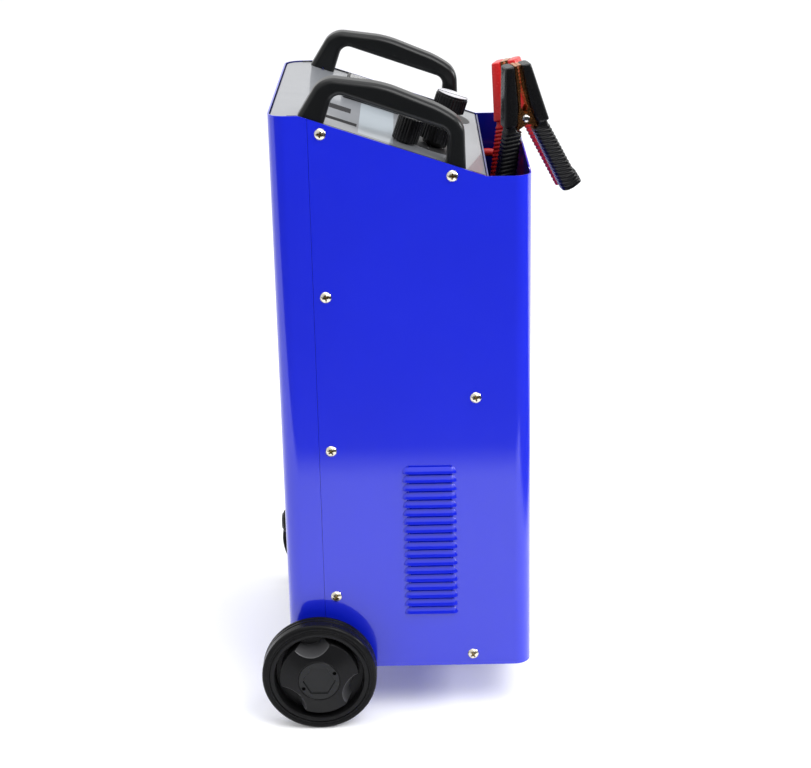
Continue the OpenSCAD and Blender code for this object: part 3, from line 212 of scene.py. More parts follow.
class Finish:
    """A material: one Principled shader and the nodes that feed it."""

    def __init__(self, name, sockets):
        self.material = bpy.data.materials.new("finish_" + name)
        self.material.use_nodes = True
        self.tree = self.material.node_tree
        self.shader = self.tree.nodes["Principled BSDF"]
        self.place = self.node("ShaderNodeTexCoord", {}, {}, "Object")
        self.set(sockets)

    def feed(self, socket, value):
        """Links a wire to a socket, or sets the socket's own value."""
        if isinstance(value, Wire):
            self.tree.links.new(value.socket, socket)
        elif hasattr(socket.default_value, "__len__") and len(socket.default_value) == 4:
            socket.default_value = (*value[:3], 1)
        else:
            socket.default_value = value

    def set(self, sockets):
        """Feeds the shader's sockets by name."""
        for name, value in sockets.items():
            self.feed(self.shader.inputs[name], value)

    def node(self, kind, settings, sockets, output=0):
        """Adds a node, with its settings first and then its sockets."""
        node = self.tree.nodes.new(kind)
        for name, value in settings.items():
            setattr(node, name, value)
        for name, value in sockets.items():
            self.feed(node.inputs[name], value)
        return Wire(self, node.outputs[output])

    def noise(self, scale, detail, stretch=(1, 1, 1)):
        """Noise over the piece, finer along an axis that is stretched more."""
        place = self.node("ShaderNodeMapping", {}, {"Vector": self.place, "Scale": stretch})
        return self.node("ShaderNodeTexNoise", {},
                         {"Vector": place, "Scale": scale, "Detail": detail})

    def bands(self, scale, axis, distortion):
        """Fine parallel lines along one axis of the piece."""
        return self.node("ShaderNodeTexWave", {"bands_direction": axis},
                         {"Vector": self.place, "Scale": scale, "Distortion": distortion}, "Fac")

    def mix(self, share, first, second):
        """A colour between two, by a share from 0 to 1."""
        return self.node("ShaderNodeMix", {"data_type": "RGBA"},
                         {0: share, 6: first, 7: second}, 2)

    def bump(self, height, depth, strength):
        """A normal from a height, with a depth in metres."""
        return self.node("ShaderNodeBump", {},
                         {"Height": height, "Distance": depth, "Strength": strength})

    def axes(self):
        """X, Y and Z of a point on the piece."""
        first = self.node("ShaderNodeSeparateXYZ", {}, {0: self.place})
        return [Wire(self, output) for output in first.socket.node.outputs]


def between(value, low, high):
    """1 where a wire's value lies between two numbers, else 0."""
    return (value > low) * (value < high)


def shade(colour, factor):
    """A colour made darker or lighter."""
    return [min(part * factor, 1) for part in colour]


# Finishes

def gloss_paint(name, colour, coat):
    """Stoved gloss paint with a trace of orange peel."""
    finish = Finish(name, {"Coat Weight": coat, "Coat Roughness": 0.035, "Coat IOR": 1.5,
                           "Specular IOR Level": 0.25})
    cloud = finish.noise(9, 3)
    peel = finish.noise(420, 1)
    finish.set({
        "Base Color": finish.mix(cloud, shade(colour, 0.94), shade(colour, 1.05)),
        "Roughness": 0.26 + 0.08 * finish.noise(60, 4),
        "Normal": finish.bump(peel, 0.00004, 0.35),
    })
    return finish


# Printed on the panel: (x from, x to, from, to) down the slope from the fold
PANEL_BARS = ((-0.064, -0.04, 0.008, 0.053), (-0.12, -0.106, 0.008, 0.061))
PANEL_FIELD = (-0.145, 0.012, 0.063, 0.1)
FIELD_COLOUR = (0.45, 0.51, 0.56)
FIELD_COVER = 0.7


def panel_paint(name):
    """Satin paint with a metal fleck, two printed bars and a pale printed field."""
    settings = bpy.context.scene.charger_controls
    finish = Finish(name, {"Coat Roughness": 0.06, "Specular IOR Level": 0.3})
    x, y, _ = finish.axes()
    slope = (FOLD_Y - y) * (1 / math.cos(TILT))
    first, second, field = (between(x, left, right) * between(slope, top, bottom)
                            for left, right, top, bottom in (*PANEL_BARS, PANEL_FIELD))
    bars = first + second
    fleck = finish.noise(2600, 1)
    grey = finish.mix(fleck, shade(settings.panel, 0.93), shade(settings.panel, 1.07))
    grey = finish.mix(FIELD_COVER * field, grey, FIELD_COLOUR)
    finish.set({
        "Base Color": finish.mix(bars, grey, settings.print_ink),
        "Roughness": 0.36 + 0.1 * finish.noise(40, 3) + 0.5 * bars,
        "Metallic": 0.25 - 0.25 * bars,
        "Coat Weight": 0.6 - 0.6 * bars,
        "Normal": finish.bump(fleck, 0.00003, 0.3),
    })
    return finish


DUST_GREY = 0.06


def moulded(name, colour, roughness, grain=900, depth=0.00008, dust=0.06, shine=0.25):
    """Plastic or rubber with a moulded grain and a little dust."""
    finish = Finish(name, {"Specular IOR Level": shine})
    cloud = finish.noise(35, 4)
    pale = [part + (DUST_GREY - part) * dust for part in colour]
    finish.set({
        "Base Color": finish.mix(cloud, colour, pale),
        "Roughness": roughness - 0.03 + 0.06 * finish.noise(80, 3),
        "Normal": finish.bump(finish.noise(grain, 2), depth, 0.5),
    })
    return finish


def metal(name, colour, roughness, tarnish, grain=(1, 1, 1), depth=0.00002):
    """Bare or plated metal, tarnished in soft patches, with a grain drawn along it."""
    finish = Finish(name, {"Metallic": 1.0})
    patch = finish.noise(120, 4)
    finish.set({
        "Base Color": finish.mix(patch, colour, tarnish),
        "Roughness": roughness - 0.05 + 0.14 * patch,
        "Normal": finish.bump(finish.noise(900, 2, grain), depth, 0.4),
    })
    return finish


def turned_metal(name):
    """Aluminium with fine lines from the lathe."""
    finish = Finish(name, {"Metallic": 0.6})
    line = finish.noise(1500, 2, (1, 0.04, 0.04))
    finish.set({
        "Base Color": finish.mix(line, (0.6, 0.6, 0.64), (0.74, 0.74, 0.78)),
        "Roughness": 0.42 + 0.12 * line,
        "Normal": finish.bump(line, 0.00002, 0.4),
    })
    return finish


def lined(name, colour, dark, scale, axis, metallic, roughness):
    """Stacked sheets or wound wire: fine lines that are also grooves."""
    finish = Finish(name, {"Metallic": metallic})
    line = finish.bands(scale, axis, 0.4)
    finish.set({
        "Base Color": finish.mix(line, dark, colour),
        "Roughness": roughness + 0.1 * finish.noise(90, 3),
        "Normal": finish.bump(line, 0.0003, 0.6),
    })
    return finish


def sheath(name, colour):
    """Cable sheath, with faint drawing marks."""
    finish = Finish(name, {"Specular IOR Level": 0.5})
    mark = finish.noise(300, 3)
    finish.set({
        "Base Color": finish.mix(mark, colour, shade(colour, 1.25)),
        "Roughness": 0.4 + 0.12 * mark,
        "Normal": finish.bump(finish.noise(1400, 2), 0.00005, 0.4),
    })
    return finish


def clear_glass(name):
    """Clear plastic, very slightly clouded."""
    finish = Finish(name, {
        "Base Color": (0.95, 0.97, 0.98), "Transmission Weight": 1.0, "IOR": 1.49,
        "Coat Weight": 0.2})
    finish.set({"Roughness": 0.02 + 0.03 * finish.noise(30, 3)})
    return finish


def printed(name, colour, roughness):
    """Ink or a printed card, with a little unevenness."""
    finish = Finish(name, {})
    patch = finish.noise(500, 3)
    finish.set({
        "Base Color": finish.mix(patch, shade(colour, 0.93), colour),
        "Roughness": roughness + 0.08 * patch,
        "Normal": finish.bump(patch, 0.00001, 0.3),
    })
    return finish


# Soft lines on the floor: the cloth is clear before the first value and full past the second
CLOTH_SIDE = (-0.82, -0.98)
CLOTH_FRONT = (-0.56, -0.76)
CLOTH_RIGHT = (0.6, 0.3)


def dark_beyond(finish, value, near, far):
    """0 on this side of a soft line, and 1 past it."""
    return finish.node("ShaderNodeMapRange", {"interpolation_type": "SMOOTHSTEP"},
                       {"Value": value, "From Min": near, "From Max": far})


def pale_floor(name):
    """A lit white floor."""
    finish = Finish(name, {"Specular IOR Level": 0.3})
    settings = bpy.context.scene.charger_stage
    finish.set({
        "Base Color": finish.mix(finish.noise(6, 4), shade(settings.floor, 0.985), settings.floor),
        "Roughness": 0.5 + 0.06 * finish.noise(12, 3),
        "Emission Color": settings.floor,
        "Emission Strength": settings.floor_glow,
    })
    return finish


def fading_cloth(name):
    """Black cloth on the floor for reflections alone, which fades in beyond the picture."""
    finish = Finish(name, {"Specular IOR Level": 0.0, "Roughness": 0.9})
    x, y, _ = finish.axes()
    light = 1 - dark_beyond(finish, x, *CLOTH_SIDE)
    front = dark_beyond(finish, y, *CLOTH_FRONT)
    light = light * (1 - front * dark_beyond(finish, x, *CLOTH_RIGHT))
    finish.set({
        "Base Color": finish.mix(finish.noise(60, 3), (0.004, 0.004, 0.005), (0.008, 0.008, 0.01)),
        "Alpha": 1 - light,
    })
    return finish


def colour_of(group, name):
    """A colour from one of the settings."""
    return getattr(getattr(bpy.context.scene, "charger_" + group), name)


FINISHES = {
    "blue_paint": lambda name: gloss_paint(name, colour_of("cabinet", "paint"), 1.0),
    # The sheets' inner faces and the pocket's tray: the blue darkened as painted shade
    "inner_paint": lambda name: gloss_paint(name, shade(colour_of("cabinet", "paint"), 0.22), 0.3),
    # Darker paint without shine for the louvres' creases: painted shade
    "crease_paint": lambda name: moulded(
        name, shade(colour_of("cabinet", "paint"), 0.8), 0.6, dust=0.0, shine=0.0),
    "panel_paint": panel_paint,
    "clear_glass": clear_glass,
    "turned_aluminium": turned_metal,
    "pale_floor": pale_floor,
    "fading_cloth": fading_cloth,
    "dark_cloth": lambda name: moulded(name, (0.006, 0.006, 0.008), 0.9, dust=0.0),
    "handle_plastic": lambda name: moulded(
        name, colour_of("controls", "plastic"), 0.3, 700, 0.00004),
    "knob_plastic": lambda name: moulded(
        name, (0.004, 0.004, 0.0045), 0.28, 1200, 0.00002, shine=0.3),
    "meter_plastic": lambda name: moulded(name, (0.012, 0.012, 0.013), 0.3, 900, 0.00003),
    "tyre_rubber": lambda name: moulded(
        name, colour_of("wheels", "rubber"), 0.27, 500, 0.00003, shine=0.08),
    "hub_plastic": lambda name: moulded(
        name, colour_of("wheels", "hub"), 0.3, 800, 0.00004, shine=0.12),
    # A lighter copy of the hub plastic for the bay walls: painted light
    "bay_plastic": lambda name: moulded(
        name, (0.045, 0.045, 0.048), 0.34, 800, 0.00004, shine=0.6),
    # Near-black discs that stand in for the pry notches: painted shade
    "hole_black": lambda name: moulded(name, (0.0006, 0.0006, 0.0006), 0.9, shine=0.0, dust=0.0),
    "pad_rubber": lambda name: moulded(name, (0.012, 0.012, 0.012), 0.6, 600, 0.0001),
    "black_clamp_plastic": lambda name: moulded(
        name, colour_of("leads", "black"), 0.27, 500, 0.00004),
    "red_clamp_plastic": lambda name: moulded(
        name, colour_of("leads", "red"), 0.27, 500, 0.00004, shine=0.5),
    "black_sheath": lambda name: sheath(name, colour_of("leads", "black")),
    "red_sheath": lambda name: sheath(name, colour_of("leads", "red")),
    "button_plastic": lambda name: moulded(name, (0.42, 0.012, 0.012), 0.28, 900, 0.00002),
    "switch_resin": lambda name: moulded(name, (0.16, 0.07, 0.025), 0.45, 600, 0.0001),
    "zinc_plate": lambda name: metal(name, (0.78, 0.76, 0.7), 0.24, (0.66, 0.58, 0.4)),
    "recess_brass": lambda name: metal(name, (0.42, 0.3, 0.1), 0.4, (0.2, 0.14, 0.05)),
    "axle_steel": lambda name: metal(
        name, (0.6, 0.6, 0.61), 0.32, (0.45, 0.44, 0.43), (0.1, 1, 1)),
    "jaw_copper": lambda name: metal(
        name, colour_of("leads", "copper"), 0.24, shade(colour_of("leads", "copper"), 0.5)),
    "spring_steel": lambda name: metal(name, (0.75, 0.75, 0.76), 0.2, (0.55, 0.54, 0.52)),
    "sink_aluminium": lambda name: metal(
        name, (0.75, 0.76, 0.77), 0.35, (0.62, 0.63, 0.64), (1, 1, 0.05)),
    "terminal_brass": lambda name: metal(name, (0.72, 0.5, 0.2), 0.28, (0.5, 0.33, 0.12)),
    "core_sheets": lambda name: lined(
        name, (0.2, 0.2, 0.21), (0.05, 0.05, 0.05), 700, "Y", 0.8, 0.5),
    "winding_wire": lambda name: lined(
        name, (0.55, 0.2, 0.06), (0.2, 0.06, 0.02), 260, "Z", 0.7, 0.3),
    "dial_card": lambda name: printed(name, (0.82, 0.82, 0.8), 0.45),
    "black_ink": lambda name: printed(name, (0.012, 0.012, 0.013), 0.42),
    "white_ink": lambda name: printed(name, (0.85, 0.85, 0.84), 0.5),
}


def finish(name):
    """The material of that name, made the first time it is asked for."""
    return bpy.data.materials.get("finish_" + name) or FINISHES[name](name).material


# Modelling helpers

WELD = 1e-6
CUT = 1e-7


def only(kind, geom):
    """The vertices, edges or faces among mixed geometry."""
    return [item for item in geom if isinstance(item, kind)]


def verts_of(edges):
    """The vertices that edges join, each once and in order."""
    return list(dict.fromkeys(vert for edge in edges for vert in edge.verts))


def edges_at(verts):
    """The edges that meet at vertices, each once and in order."""
    return list(dict.fromkeys(edge for vert in verts for edge in vert.link_edges))


def edges_of(faces):
    """The edges of faces, each once and in order."""
    return list(dict.fromkeys(edge for face in faces for edge in face.edges))


def since(bm, start):
    """The vertices made since a set of them was kept."""
    return [vert for vert in bm.verts if vert not in start]


def weld(bm, verts):
    """Merges vertices that lie on each other."""
    bmesh.ops.remove_doubles(bm, verts=verts, dist=WELD)


def rounded(bm, geom, offset, segments, affect="EDGES", clamp=False):
    """Rounds edges or corners."""
    return bmesh.ops.bevel(bm, geom=geom, offset=offset, offset_type="OFFSET", segments=segments,
                           profile=0.5, affect=affect, material=-1, clamp_overlap=clamp)


def move(bm, place):
    """Puts a whole shape in place."""
    bmesh.ops.transform(bm, matrix=place, verts=bm.verts[:])


def face_out(bm):
    """Turns the faces of a closed shape outwards."""
    bmesh.ops.recalc_face_normals(bm, faces=bm.faces[:])


def ring(bm, segments, radius, at=(0, 0, 0)):
    """The vertices and the edges of a circle about Z."""
    verts = bmesh.ops.create_circle(bm, segments=segments, radius=radius)["verts"]
    bmesh.ops.translate(bm, verts=verts, vec=at)
    return verts, edges_at(verts)


def widen(edges, factor):
    """Scales a ring about Z."""
    for vert in verts_of(edges):
        vert.co.xy = vert.co.to_2d() * factor


def set_radius(edges, radius):
    """Draws a ring in or out to a radius about Z."""
    for vert in verts_of(edges):
        vert.co.xy = vert.co.to_2d().normalized() * radius


def lifted(bm, faces, step):
    """Draws faces out by one straight step, and gives the new geometry."""
    geom = bmesh.ops.extrude_face_region(bm, geom=faces)["geom"]
    bmesh.ops.translate(bm, verts=only(bmesh.types.BMVert, geom), vec=step)
    return geom


def drawn(bm, edges, step):
    """Draws edges out by one straight step, and gives the new edges."""
    geom = bmesh.ops.extrude_edge_only(bm, edges=edges)["geom"]
    bmesh.ops.translate(bm, verts=only(bmesh.types.BMVert, geom), vec=step)
    return only(bmesh.types.BMEdge, geom)


def bent(bm, edges, centre, axis, angle, steps):
    """Draws edges round a bend, and gives the last edges."""
    geom = bmesh.ops.spin(bm, geom=verts_of(edges) + edges, cent=centre, axis=axis, angle=angle,
                          steps=steps)["geom_last"]
    return only(bmesh.types.BMEdge, geom)


def chain(bm, points):
    """A line of joined edges through the points."""
    verts = [bm.verts.new(point) for point in points]
    return [bm.edges.new(pair) for pair in zip(verts, verts[1:])]


def lathe(bm, profile, steps, place=Matrix()):
    """Spins a profile of (radius, height) points about Z, and puts it in place."""
    start = set(bm.verts)
    edges = chain(bm, [(radius, 0, height) for radius, height in profile])
    bmesh.ops.spin(bm, geom=since(bm, start) + edges, cent=(0, 0, 0), axis=(0, 0, 1),
                   angle=2 * math.pi, steps=steps, use_merge=True)
    weld(bm, since(bm, start))
    bmesh.ops.transform(bm, matrix=place, verts=since(bm, start))


def block(bm, size, place, edge=0.0):
    """A box, with rounded edges where an edge radius is given."""
    start = set(bm.verts)
    verts = bmesh.ops.create_cube(bm, size=1)["verts"]
    bmesh.ops.scale(bm, vec=size, verts=verts)
    if edge:
        rounded(bm, edges_at(verts), edge, 3)
    made = since(bm, start)
    bmesh.ops.transform(bm, matrix=place, verts=made)
    return made


def rounded_plate(bm, corners, thickness):
    """A plate across X from (y, z, radius) corners, half its thickness to each side."""
    count = len(corners)
    verts = [bm.verts.new((-thickness / 2, y, z)) for y, z, _ in corners]
    bm.faces.new(verts)
    for i, (y, z, radius) in enumerate(corners):
        if radius:
            here = Vector((y, z))
            before = Vector(corners[i - 1][:2]) - here
            after = Vector(corners[(i + 1) % count][:2]) - here
            reach = radius / math.tan(before.angle(after) / 2)
            rounded(bm, [verts[i]], reach, 8, "VERTICES")
    lifted(bm, bm.faces[:], (thickness, 0, 0))
    face_out(bm)


def outwards(bm, centre):
    """Turns every face of an open sheet away from a point behind it."""
    inward = [face for face in bm.faces
              if (face.calc_center_median() - centre).dot(face.normal) < 0]
    bmesh.ops.reverse_faces(bm, faces=inward)


def join(bm, other):
    """Adds another bmesh to this one."""
    mesh = bpy.data.meshes.new("part")
    other.to_mesh(mesh)
    other.free()
    bm.from_mesh(mesh)
    bpy.data.meshes.remove(mesh)


def piece(name, bm, finish_names, body, nodes=(), edge=0.0, sheet=0.0, crease=38):
    """Makes a bmesh a finished piece that rides on a body and stands for CAD nodes."""
    for face in bm.faces:
        face.smooth = True
    mesh = bpy.data.meshes.new(name)
    bm.to_mesh(mesh)
    bm.free()
    mesh.set_sharp_from_angle(angle=math.radians(crease))
    made = bpy.data.objects.new(name, mesh)
    bpy.context.scene.collection.objects.link(made)
    for finish_name in [finish_names] if isinstance(finish_names, str) else finish_names:
        mesh.materials.append(finish(finish_name))
    if sheet:
        wall = made.modifiers.new("wall", "SOLIDIFY")
        wall.thickness = sheet
        wall.offset = -1
        wall.use_even_offset = True
        wall.material_offset = len(mesh.materials) - 1
    if edge:
        bevel = made.modifiers.new("edges", "BEVEL")
        bevel.width = edge
        bevel.segments = 2
        bevel.limit_method = "ANGLE"
        bevel.angle_limit = math.radians(crease)
    normals = made.modifiers.new("normals", "WEIGHTED_NORMAL")
    normals.keep_sharp = True
    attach(made, body)
    if nodes:
        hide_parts(*nodes)
    return made


def repaint(finish_name, *nodes):
    """Gives CAD nodes that stay in view a finish."""
    for node in nodes:
        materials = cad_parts[node].data.materials
        materials.clear()
        materials.append(finish(finish_name))


INK = 0.00005


def lettering(bm, text, size, place):
    """Flat printed numbers, centred at the place."""
    curve = bpy.data.curves.new("number", "FONT")
    curve.body = text
    curve.size = size
    curve.align_x = "CENTER"
    curve.align_y = "CENTER"
    curve.extrude = INK
    carrier = bpy.data.objects.new("number", curve)
    bpy.context.scene.collection.objects.link(carrier)
    mesh = carrier.to_mesh()
    start = set(bm.verts)
    bm.from_mesh(mesh)
    bmesh.ops.transform(bm, matrix=place, verts=since(bm, start))
    bpy.data.objects.remove(carrier)
    bpy.data.curves.remove(curve)


class ChargerOperator:
    """What the charger's operators share."""

    bl_options = {"REGISTER", "UNDO"}


class CHARGER_OT_camera(ChargerOperator, bpy.types.Operator):
    """Put the camera where the charger is seen from its side and a little from above"""

    bl_idname = "charger.camera"
    bl_label = "Camera"

    place = (-1.974, -0.02621, 1.0349)
    yaw = 0.006
    pitch = -0.343
    roll = -0.021
    focal_length = 81.77
    film_width = 36

    def execute(self, context):
        yaw, pitch, roll = self.yaw, self.pitch, self.roll
        ahead = Vector((math.cos(pitch) * math.cos(yaw), math.cos(pitch) * math.sin(yaw),
                        math.sin(pitch)))
        level = ahead.cross(Vector((0, 0, 1))).normalized()
        upright = level.cross(ahead)
        right = math.cos(roll) * level + math.sin(roll) * upright
        above = math.cos(roll) * upright - math.sin(roll) * level
        lens = bpy.data.cameras.new("side_camera")
        lens.sensor_width = self.film_width
        lens.lens = self.focal_length
        camera = bpy.data.objects.new("side_camera", lens)
        context.scene.collection.objects.link(camera)
        turn = Matrix((right, above, -ahead)).transposed().to_4x4()
        camera.matrix_world = Matrix.Translation(self.place) @ turn
        context.scene.camera = camera
        return {"FINISHED"}


# Leads: the routes of the part's source, in metres

COIL_X = {"black": -0.066, "red": 0.076}
COIL_HAND = {"black": 1, "red": -1}
COIL_Y = FRONT_Y + 0.01125
COIL_Z = 0.431
COIL_RADIUS = 0.064
COIL_STEP = 0.0116
LAYER_STEP = 0.0112
SPIRAL_TURNS = 1.5
CLIMB_TURNS = 0.5
RINGS_PER_TURN = 48
LEAD_Z = RIM_Z - 0.0424
LEAD_BEND = 0.02
LUG_Y = POCKET_Y + 0.022
SEAT_B = 0.03825
SEAT_TOP_B = 0.0146
SEAT_A = -0.086
CROTCH_A = -0.014
LEAD_SEAT = 0.028
DROP_STEPS = 6
RISE_STEPS = 16
COIL_TURNS = 2 * SPIRAL_TURNS + CLIMB_TURNS


def coil_point(turn, x, hand):
    """A point of the coil: spirals in, climbs a layer in half a turn, spirals out."""
    inner = min(turn, SPIRAL_TURNS, COIL_TURNS - turn)
    radius = COIL_RADIUS - COIL_STEP * inner
    climb = min(max((turn - SPIRAL_TURNS) / CLIMB_TURNS, 0), 1)
    layer = COIL_Y + LAYER_STEP * (1 - math.cos(math.pi * climb)) / 2
    angle = 2 * math.pi * turn
    return Vector((x - hand * radius * math.cos(angle), layer, COIL_Z - radius * math.sin(angle)))


def hermite(start, pull, end, end_pull, share):
    """A point on a smooth curve between two points."""
    square, cube = share ** 2, share ** 3
    blend = 3 * square - 2 * cube
    return (start + blend * (end - start) + (share - 2 * square + cube) * pull
            + (cube - square) * end_pull)


def lead_route(colour, diameter):
    """Through the pocket's wall, down into a coil, and up into the clamp's rear arm."""
    x, hand, clamp = COIL_X[colour], COIL_HAND[colour], CLAMPS[colour]
    feed_x = x - hand * COIL_RADIUS
    bend_y, drop_z, end_z = COIL_Y + LEAD_BEND, LEAD_Z - LEAD_BEND, COIL_Z + diameter
    route = [Vector((feed_x, y, LEAD_Z)) for y in (LUG_Y, POCKET_Y + 0.004, bend_y)]
    route += [Vector((feed_x, bend_y - LEAD_BEND * math.sin(a), drop_z + LEAD_BEND * math.cos(a)))
              for a in (math.radians(10 * i) for i in range(1, 10))]
    route += [Vector((feed_x, COIL_Y, drop_z + (end_z - drop_z) * i / DROP_STEPS))
              for i in range(1, DROP_STEPS + 1)]
    route += [coil_point(i / RINGS_PER_TURN, x, hand)
              for i in range(int(COIL_TURNS * RINGS_PER_TURN) + 1)]
    start = Vector((x + hand * COIL_RADIUS, COIL_Y + LAYER_STEP, end_z))
    rise = start + Vector((0, 0, diameter))
    inlet = clamp @ Vector((0, SEAT_B, SEAT_A))
    into = (clamp @ Vector((0, SEAT_TOP_B, CROTCH_A)) - inlet).normalized()
    mouth = inlet - 2 * diameter * into
    reach = (mouth - rise).length
    route.append(start)
    route += [hermite(rise, Vector((0, 0, reach)), mouth, into * reach, i / RISE_STEPS)
              for i in range(RISE_STEPS + 1)]
    route += [inlet, inlet + into * LEAD_SEAT]
    return route


class CHARGER_OT_leads(ChargerOperator, bpy.types.Operator):
    """Lay the two charging leads in the pocket, coiled, each up to its clamp"""

    bl_idname = "charger.leads"
    bl_label = "Leads"

    def execute(self, context):
        diameter = context.scene.charger_leads.diameter
        for colour in CLAMPS:
            route = lead_route(colour, diameter)
            line = bpy.data.curves.new(colour + "_charging_lead", "CURVE")
            line.dimensions = "3D"
            line.bevel_depth = diameter / 2
            line.bevel_resolution = 4
            line.use_fill_caps = True
            spline = line.splines.new("POLY")
            spline.points.add(len(route) - 1)
            for point, place in zip(spline.points, route):
                point.co = (*place, 1)
            spline.use_smooth = True
            lead = bpy.data.objects.new(line.name, line)
            context.scene.collection.objects.link(lead)
            line.materials.append(finish(colour + "_sheath"))
            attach(lead, ROOT)
            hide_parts(*(colour + part for part in ("_lead", "_coil", "_tail")))
        return {"FINISHED"}


# Cabinet

BEND_STEPS = 10
# Outer paint, then the louvre creases and the inner faces, both darkened as painted shade
SHEET_FINISHES = ("blue_paint", "crease_paint", "inner_paint")
MIDDLE = Vector((0, 0, 0.3))
ON_FACE = 0.001
LAP = 0.03
LAP_DROP = 0.0066
JOGGLE = 0.0002
AXLE_NOTCH = 0.007
LOUVRE_TOP_Z = 0.287
LOUVRE_Y = FRONT_Y + 0.1086
REAR_LOUVRES = 8
REAR_LOUVRE_LENGTH = 0.15
REAR_LOUVRE_Z = 0.487
REAR_LOUVRE_PITCH = 0.0145
LOUVRE_END = 0.0065
LOUVRE_SWEEP = math.radians(100)
# How far behind a louvre a point counts as inside the cabinet
SIDE_BEHIND = 0.02
REAR_BEHIND = 0.06
# Shares of a louvre's height: the slot behind it and the crease along its top, which takes painted
# shade
LOUVRE_OPENING = 0.6
LOUVRE_CREASE = (0.79, 0.94)
# How soon a louvre's end is full, and its section as shares of its reach and its height
LOUVRE_SWELL = 0.45
LOUVRE_PROFILE = (
    (1.0, 0.0), (0.94, 0.135), (0.835, 0.27), (0.68, 0.405), (0.495, 0.54), (0.295, 0.675),
    (0.135, 0.785), (0.06, 0.865), (0.025, 0.93), (0.01, 1.0))


def louvre(length, behind, settings, place):
    """A pressed louvre, creased at its top and round at its ends, its lip on the place."""
    bm = bmesh.new()
    height, proud = settings.louvre_height, settings.louvre_proud
    arc = chain(bm, [(proud * reach, LOUVRE_END - length / 2, height * rise)
                     for reach, rise in LOUVRE_PROFILE])
    ends = [arc, drawn(bm, arc, (0, length - 2 * LOUVRE_END, 0))]
    for side, edges in zip((-1, 1), ends):
        middle = side * (length / 2 - LOUVRE_END)
        before = set(bm.verts)
        bent(bm, edges, (0, middle, 0), (0, 0, side), LOUVRE_SWEEP, BEND_STEPS)
        for vert in set(bm.verts) - before:
            across = vert.co.y - middle
            swell = (math.hypot(vert.co.x, across) / proud) ** (LOUVRE_SWELL - 1)
            vert.co.y = middle + across * swell * LOUVRE_END / proud
    weld(bm, bm.verts[:])
    # Faces along the top crease take the darker paint: painted shade in the crease
    for face in bm.faces:
        rise = face.calc_center_median().z / height
        if LOUVRE_CREASE[0] < rise < LOUVRE_CREASE[1]:
            face.material_index = 1
    move(bm, place)
    outwards(bm, place @ Vector((-behind, 0, 0)))
    return bm


def cut_away(bm, planes, inside):
    """Cuts the sheet along planes, and takes out the faces inside an opening."""
    for point, normal in planes:
        bmesh.ops.bisect_plane(bm, geom=bm.verts[:] + bm.edges[:] + bm.faces[:], dist=CUT,
                               plane_co=point, plane_no=normal)
    gone = [face for face in bm.faces if inside(face.calc_center_median())]
    bmesh.ops.delete(bm, geom=gone, context="FACES")


def slot_planes(lips, opening, ends, across):
    """The planes that outline a column of slots behind louvres."""
    planes = [((0, 0, z), (0, 0, 1)) for lip in lips for z in (lip, lip + opening)]
    return planes + [([end * part for part in across], across) for end in ends]


def in_slot(point, lips, opening):
    """Whether a point is level with one of the slots."""
    return any(lip < point.z < lip + opening for lip in lips)


def add_louvres(bm, lips, length, behind, settings, place):
    """Adds a column of louvres, one above each lip's height."""
    for lip in lips:
        join(bm, louvre(length, behind, settings, place @ Matrix.Translation((0, 0, lip))))


def bent_round(bm, edges, radius, middle_y, hand):
    """Draws a sheet round a corner, across the cabinet and round the other corner."""
    quarter = (0, 0, hand), math.pi / 2, BEND_STEPS
    edges = bent(bm, edges, (radius - SIDE_X, middle_y, 0), *quarter)
    edges = drawn(bm, edges, (2 * (SIDE_X - radius), 0, 0))
    return bent(bm, edges, (SIDE_X - radius, middle_y, 0), *quarter)


def front_shell(settings):
    """Front wall and both sides from one sheet, bent round the front corners."""
    bm = bmesh.new()
    middle_y = FRONT_Y + settings.corner
    edges = chain(bm, [(-SIDE_X, SEAM_Y, SKIRT_Z), (-SIDE_X, SEAM_Y, TOP_Z)])
    edges = drawn(bm, edges, (0, POCKET_Y - SEAM_Y, 0))
    edges = drawn(bm, edges, (0, middle_y - POCKET_Y, 0))
    edges = bent_round(bm, edges, settings.corner, middle_y, 1)
    edges = drawn(bm, edges, (0, POCKET_Y - middle_y, 0))
    drawn(bm, edges, (0, SEAM_Y - POCKET_Y, 0))
    for vert in bm.verts:
        if vert.co.z > MIDDLE.z:
            vert.co.z = top_at(vert.co.y)
    lips = [LOUVRE_TOP_Z - i * settings.louvre_pitch for i in range(settings.louvres)]
    reach = settings.louvre_length / 2 - LOUVRE_END
    low, high = LOUVRE_Y - reach, LOUVRE_Y + reach
    opening = LOUVRE_OPENING * settings.louvre_height

    def opened(point):
        on_side = abs(point.x) > SIDE_X - ON_FACE and low < point.y < high
        return on_side and in_slot(point, lips, opening)

    cut_away(bm, slot_planes(lips, opening, (low, high), (0, 1, 0)), opened)
    outwards(bm, MIDDLE)
    for side in SIDES.values():
        turn = Matrix.Rotation(0 if side > 0 else math.pi, 4, "Z")
        add_louvres(bm, lips, settings.louvre_length, SIDE_BEHIND, settings,
                    Matrix.Translation((side * SIDE_X, LOUVRE_Y, 0)) @ turn)
    piece("shell_sheet", bm, SHEET_FINISHES, ROOT, ["front_shell"],
          settings.edge, settings.sheet)


